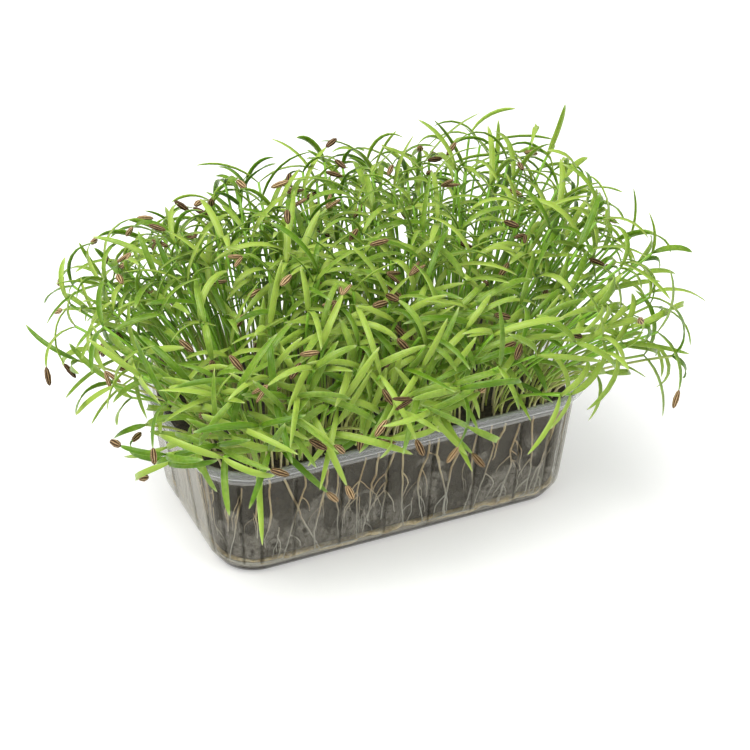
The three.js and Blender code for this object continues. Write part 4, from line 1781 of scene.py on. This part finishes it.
            stem = self.draw_clear(owner, planting, draw, self.stem_samples)
            drift = 1 - 2 * planting.rule.hull_drift * base.x / self.size.rim_length
            hulled = 0 if random() < planting.rule.hull_share * drift else -1
            seedlings.append(Seedling(clump, planting.rule, stem, random, hulled))
        self.owners += len(seedlings)
        for turn, sign in enumerate((1, -1)):
            for owner, seedling in enumerate(seedlings, start=first_owner):
                if seedling.stem is not None:
                    seedling.blades.append(self.grow_blade(owner, planting, seedling, turn, sign))
        return [s for s in seedlings if s.stem is not None and (any(s.blades) or not planting.count)]

    def grow_blade(
        self, owner: int, planting: Planting, seedling: Seedling, turn: int, sign: int
    ) -> Blade | None:
        """Grow one of a seedling's blades.

        Args:
            owner: the seedling's number.
            planting: what grows.
            seedling: the seedling.
            turn: 0 for its first blade, 1 for its second.
            sign: 1 or -1, the side of the fork.

        Returns:
            The blade, or None.
        """

        def draw(wait: float) -> Blade:
            """Draw a blade, shorter after a long wait."""
            shrink = 1 - planting.rule.blade_shrink * wait
            return self.draw_blade(seedling, sign, turn == seedling.hulled, shrink)

        return self.draw_clear(owner, planting, draw, self.blade_samples)


@dataclass
class Crop(SubAssembly):
    """The seedlings' meshes: a piece for each packed bunch, with the finer crop shared among them.

    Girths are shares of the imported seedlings' own widths, and levels are rings along a blade or a hull.
    """

    rule: GrowthRule
    box: Sequence[Vector]
    stem_segments: int = 6
    stem_rings: int = 8
    stem_girth: float = 0.6
    fork_swell: float = 0.16
    tangent_reach: float = 0.03
    blade_segments: int = 6
    blade_levels: tuple[float, ...] = (0, 1.4, 3, 4.7, 6.4, 8.1, 9.6, 10.8, 11.6, 12)
    blade_girth: tuple[float, float] = (0.66, 0.92)
    # How far a leaf's tone may stray from its stem's.
    tone_drift: float = 0.3
    blade_thickness: float = 0.5
    blade_thinning: float = 0.45
    # A leaf narrower than twice this gets thinner with its width.
    thin_below: float = 0.6
    channel: float = 0.34
    channel_level: float = 0.4
    stalk_share: float = 0.28
    stalk_girth: float = 0.3
    tip_start: float = 0.45
    tip_fullness: float = 2.8
    tip_bluntness: float = 0.7
    hull_ridges: int = 7
    hull_segments: int = 14
    hull_levels: tuple[float, ...] = (0, 0.14, 0.5, 0.86, 1)
    hull_overlap: float = 0.9
    hull_stretch: float = 1.1
    hull_girth: float = 0.95
    hull_end_girth: float = 0.24
    hull_fullness: float = 2.4
    hull_bluntness: float = 0.55
    hull_section: tuple[float, float] = (1.12, 0.86)
    # A furrow's radius and a ridge's height above it, as shares of the hull's own radius.
    furrow_radius: float = 0.86
    ridge_height: float = 0.22
    # How much of a hull's tone its ridges decide, and how much its own shade.
    ridge_tone: float = 0.64
    shade_tone: float = 0.34
    split_share: float = 0.16
    split_gap: float = 0.3
    split_girth: float = 0.66
    split_splay: float = 0.3

    def __post_init__(self) -> None:
        """Start the grower and make the tubes that stems, blades and hulls are bent from."""
        self.grower = Grower(self.outline, self.rule, self.box)
        self.stem_tube = tube_template("stem_tube", self.stem_segments, self.stem_rings, 1)
        self.blade_tube = tube_template("blade_tube", self.blade_segments, len(self.blade_levels) - 1, 0)
        self.hull_tube = tube_template("hull_tube", self.hull_segments, len(self.hull_levels) - 1, 2)

    def plantings(self) -> list[Planting]:
        """List the plantings, in the order that they grow.

        Returns:
            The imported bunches, then the finer crop: between them, leaning out, and along the edge.
        """
        finer = replace(
            self.rule,
            stem_length=(46.0, 75.0),
            right_growth=0.05,
            hull_share=0.17,
            hull_drift=0.9,
            edge_lean=35.0,
            blade_opening=(15.0, 64.0),
            blade_bend=(30.0, 140.0),
            blade_length=(17.0, 30.0),
        )
        leaning = replace(
            finer,
            stem_length=(47.0, 73.0),
            edge_lean=45.0,
            edge_shortening=0.2,
            right_growth=0.15,
            hull_share=0.26,
        )
        draped = replace(
            finer,
            stem_length=(18.0, 42.0),
            edge_lean=21.0,
            blade_opening=(25.0, 90.0),
            blade_bend=(20.0, 115.0),
            blade_length=(18.0, 31.0),
        )
        return [
            Planting(self.rule),
            Planting(finer, seed=977, count=330, slack=1.6, beyond=3.0, draws=60),
            Planting(leaning, seed=613, count=140, edge_band=16.0, slack=1.6, beyond=3.0, draws=60),
            Planting(draped, seed=311, count=80, edge_band=16.0, slack=1.8, beyond=2.0, draws=80),
        ]

    def stamp(
        self,
        bm: bmesh.types.BMesh,
        template: bpy.types.Mesh,
        place: Callable[[Vector], tuple[Vector, float]],
    ) -> None:
        """Add a copy of a template, with each point moved.

        Args:
            bm: the mesh that it is added to, with the point layer "tone".
            template: the closed tube.
            place: turns a template point into its place and its tone.
        """
        start = len(bm.verts)
        bm.from_mesh(template)
        bm.verts.ensure_lookup_table()
        layer = bm.verts.layers.float["tone"]
        for i in range(start, len(bm.verts)):
            vert = bm.verts[i]
            vert.co, vert[layer] = place(vert.co.copy())

    def add_stem(self, bm: bmesh.types.BMesh, stem: Stem, tone: float) -> None:
        """Add a stem: a round tube that widens a little to its fork.

        Args:
            bm: the bunch's mesh.
            stem: the stem's line.
            tone: the seedling's own tone, from 0 to 1.
        """
        sink = self.rule.stem_sink / stem.rise
        frames = []
        for ring in range(self.stem_rings + 1):
            share = -sink + (1 + sink) * ring / self.stem_rings
            tangent = stem.at(share + self.tangent_reach) - stem.at(share - self.tangent_reach)
            tangent.normalize()
            out = (stem.away - tangent * stem.away.dot(tangent)).normalized()
            radius = self.rule.stem_radius * (self.stem_girth + self.fork_swell * clamp(share) ** 3)
            frames.append((stem.at(share), out * radius, tangent.cross(out) * radius))

        def place(co: Vector) -> tuple[Vector, float]:
            """Move a point of the tube onto the stem."""
            centre, out, across = frames[round(co.z * self.stem_rings)]
            return centre + out * co.x + across * co.y, tone

        self.stamp(bm, self.stem_tube, place)

    def frame_at(self, stem: Stem, blade: Blade, level: float) -> tuple[Vector, Vector, Vector]:
        """Find a blade's frame at a step of its line.

        Args:
            stem: the stem that carries it.
            blade: the blade.
            level: the step, whole or between two steps.

        Returns:
            The point, the direction of its width, and that of its underside.
        """
        last = len(blade.points) - 1
        low = min(int(level), last - 1)
        centre = blade.points[low].lerp(blade.points[low + 1], level - low)
        before = blade.points[max(round(level) - 1, 0)]
        after = blade.points[min(round(level) + 1, last)]
        heading = (after - before).normalized()
        across = (stem.side - heading * stem.side.dot(heading)).normalized()
        under = across.cross(heading) * blade.sign
        turn = blade.twist * min(level / self.rule.blade_steps, 1.0)
        turned = across * math.cos(turn) + under * math.sin(turn)
        return centre, turned, under * math.cos(turn) - across * math.sin(turn)

    def half_width(self, share: float) -> float:
        """Find the finer leaf's half width: a narrow stalk, an even strap, a tapered tip.

        Args:
            share: how far along the leaf.

        Returns:
            The half width.
        """
        stalk = 1 - (1 - clamp(share / self.stalk_share)) ** 2
        taper = clamp((share - self.tip_start) / (1 - self.tip_start))
        tip = (1 - taper**self.tip_fullness) ** self.tip_bluntness
        return self.rule.blade_width / 2 * between((self.stalk_girth, 1.0), stalk) * tip

    def add_blade(self, bm: bmesh.types.BMesh, seedling: Seedling, blade: Blade, tone: float) -> None:
        """Add a seed leaf: a thin lens in section, channelled along its upper face.

        Args:
            bm: the bunch's mesh.
            seedling: the seedling that carries it.
            blade: the leaf's middle line.
            tone: the leaf's own tone, from 0 to 1.
        """
        steps = self.rule.blade_steps
        frames = [self.frame_at(seedling.stem, blade, level) for level in self.blade_levels]
        girth = between(self.blade_girth, seedling.random())

        def place(co: Vector) -> tuple[Vector, float]:
            """Move a point of the tube onto the leaf.

            Args:
                co: the point, as the template has it.

            Returns:
                Its place and its tone.
            """
            ring = round(co.z * (len(self.blade_levels) - 1))
            share = self.blade_levels[ring] / steps
            centre, across, under = frames[ring]
            half = self.half_width(share) * girth
            thick = self.blade_thickness / 2 * (1 - self.blade_thinning * share)
            thick *= min(1.0, half / self.thin_below)
            lift = self.channel * half * (abs(co.x) - self.channel_level)
            side = co.x * blade.sign
            return centre + across * (side * half) - under * (co.y * thick + lift - thick), tone

        self.stamp(bm, self.blade_tube, place)

    def add_hull(self, bm: bmesh.types.BMesh, stem: Stem, blade: Blade, shade: float, side: int) -> None:
        """Add the ridged hull on a blade's tip, or one half of a hull that has split.

        Args:
            bm: the mesh that it is added to.
            stem: the seedling's stem.
            blade: the blade that carries it.
            shade: how pale the hull is, from 0 to 1.
            side: 0 for a whole hull, -1 or 1 for the half on that side.
        """
        rule = self.rule
        _, across, under = self.frame_at(stem, blade, rule.blade_steps + 1)
        tip = blade.points[-1]
        heading = (tip - blade.points[rule.blade_steps]).normalized()
        heading = (heading + across * (side * self.split_splay)).normalized()
        start = blade.points[rule.blade_steps] - heading * self.hull_overlap
        start += across * (side * rule.hull_radius * self.split_gap)
        length = rule.hull_length * self.hull_stretch
        full = rule.hull_radius * self.hull_girth * (self.split_girth if side else 1.0)
        width, depth = self.hull_section

        def place(co: Vector) -> tuple[Vector, float]:
            """Move a point of the tube onto the hull.

            Args:
                co: the point, as the template has it.

            Returns:
                Its place and its tone.
            """
            level = self.hull_levels[round(co.z * (len(self.hull_levels) - 1))]
            angle = math.atan2(co.y, co.x)
            ridge = 0.5 + 0.5 * math.cos(self.hull_ridges * math.atan2(co.x, co.y))
            girth = max(0.0, 1 - abs(2 * level - 1) ** self.hull_fullness) ** self.hull_bluntness
            radius = full * max(girth, self.hull_end_girth) * (self.furrow_radius + self.ridge_height * ridge)
            offset = across * (math.cos(angle) * radius * width)
            offset -= under * (blade.sign * math.sin(angle) * radius * depth)
            tone = self.ridge_tone * ridge + self.shade_tone * shade
            return start + heading * (length * level) + offset, tone

        self.stamp(bm, self.hull_tube, place)

    def build(self) -> list[bpy.types.Object]:
        """Grow the crop and make it up in bunches.

        Returns:
            A piece for each bunch.
        """
        pieces = []
        seedlings = []
        for planting in self.plantings():
            grown = self.grower.grow(planting)
            LOG.info("%d seedlings grown", len(grown))
            seedlings += grown
        materials = [SeedLeaf().material(), SeedlingStem().material(), SeedHull().material()]
        for clump in range(len(self.grower.clumps)):
            bm = bmesh.new()
            bm.verts.layers.float.new("tone")
            for seedling in (s for s in seedlings if s.clump == clump):
                tone = seedling.random()
                self.add_stem(bm, seedling.stem, tone)
                for blade in filter(None, seedling.blades):
                    drift = seedling.random.within(-self.tone_drift, self.tone_drift)
                    self.add_blade(bm, seedling, blade, clamp(tone + drift))
                    if blade.hull:
                        shade = seedling.random()
                        for side in (-1, 1) if seedling.random() < self.split_share else (0,):
                            self.add_hull(bm, seedling.stem, blade, shade, side)
            bmesh.ops.remove_doubles(bm, verts=bm.verts, dist=MERGE_DISTANCE)
            number = f"{clump + 1:02d}"
            pieces.append(make_piece("bunch_" + number, bm, materials, Slot.SEEDLING, "seedlings_" + number))
        return pieces


# ---------------------------------------------------------------------------------------------------
# The studio
# ---------------------------------------------------------------------------------------------------


@dataclass(frozen=True)
class SoftBox:
    """A soft light: where it stands, how wide it is, and its power."""

    name: str
    place: tuple[float, float, float]
    width: float
    watts: float


@dataclass(frozen=True)
class Studio:
    """A white paper floor, soft light from all round, and the camera."""

    aim: tuple[float, float, float] = (0.0, 0.0, 20.0)
    distance: float = 825.0
    azimuth: float = -24.0
    elevation: float = 33.0
    lens: float = 96.0
    shift_x: float = 0.0173
    shift_y: float = 0.092
    room_light: float = 0.53
    paper_reach: float = 3.0
    lights: tuple[SoftBox, ...] = (
        SoftBox("key", (-0.45, -0.05, 1.25), 1.1, 22.5),
        SoftBox("front", (0.5, -0.9, 0.7), 0.6, 3.5),
    )

    def place_camera(self) -> None:
        """Place the camera."""
        azimuth, elevation = math.radians(self.azimuth), math.radians(self.elevation)
        level = math.cos(elevation)
        back = Vector((math.sin(azimuth) * level, -math.cos(azimuth) * level, math.sin(elevation)))
        data = bpy.data.cameras.new("camera")
        data.lens = self.lens
        data.shift_x = self.shift_x
        data.shift_y = self.shift_y
        camera = bpy.data.objects.new("camera", data)
        camera.location = (Vector(self.aim) + back * self.distance) * MM
        camera.rotation_mode = "QUATERNION"
        camera.rotation_quaternion = (-back).to_track_quat("-Z", "Y")
        bpy.context.scene.collection.objects.link(camera)
        bpy.context.scene.camera = camera

    def lay_floor(self) -> None:
        """Lay the paper."""
        bm = bmesh.new()
        bmesh.ops.create_grid(bm, x_segments=1, y_segments=1, size=self.paper_reach)
        mesh = bpy.data.meshes.new("paper")
        bm.to_mesh(mesh)
        bm.free()
        mesh.materials.append(PaperSweep().material())
        floor = bpy.data.objects.new("paper", mesh)
        bpy.context.scene.collection.objects.link(floor)
        floor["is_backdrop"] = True

    def hang_lights(self) -> None:
        """Hang the soft boxes and light the room."""
        for box in self.lights:
            data = bpy.data.lights.new(box.name, "AREA")
            data.size = box.width
            data.energy = box.watts
            lamp = bpy.data.objects.new(box.name, data)
            lamp.location = box.place
            lamp.rotation_mode = "QUATERNION"
            lamp.rotation_quaternion = (-Vector(box.place)).to_track_quat("-Z", "Y")
            bpy.context.scene.collection.objects.link(lamp)
        world = bpy.data.worlds.new("room")
        world.use_nodes = True
        world.node_tree.nodes.clear()
        room = add_node(world.node_tree, "Background", ("#ffffff", self.room_light))
        add_node(world.node_tree, "OutputWorld", {"Surface": room})
        bpy.context.scene.world = world
        bpy.context.scene.view_settings.view_transform = "Standard"


def main() -> None:
    """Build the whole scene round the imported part."""
    logging.basicConfig(level=logging.INFO, format="%(name)s: %(message)s")
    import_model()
    packed_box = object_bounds()
    studio = Studio()
    studio.place_camera()
    outline = Outline(TraySize())
    box = [Vector(corner) / MM for corner in packed_box]
    for assembly in (Punnet(outline), Medium(outline), Roots(outline), Crop(outline, GrowthRule(), box)):
        for piece in assembly.build():
            LOG.info("%s: %d faces", piece.name, len(piece.data.polygons))
    studio.lay_floor()
    studio.hang_lights()
    boxes = {"cad": packed_box, "visual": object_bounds()}
    sizes = {name: [list(corner) for corner in corners] for name, corners in boxes.items()}


if __name__ == "__main__":
    main()
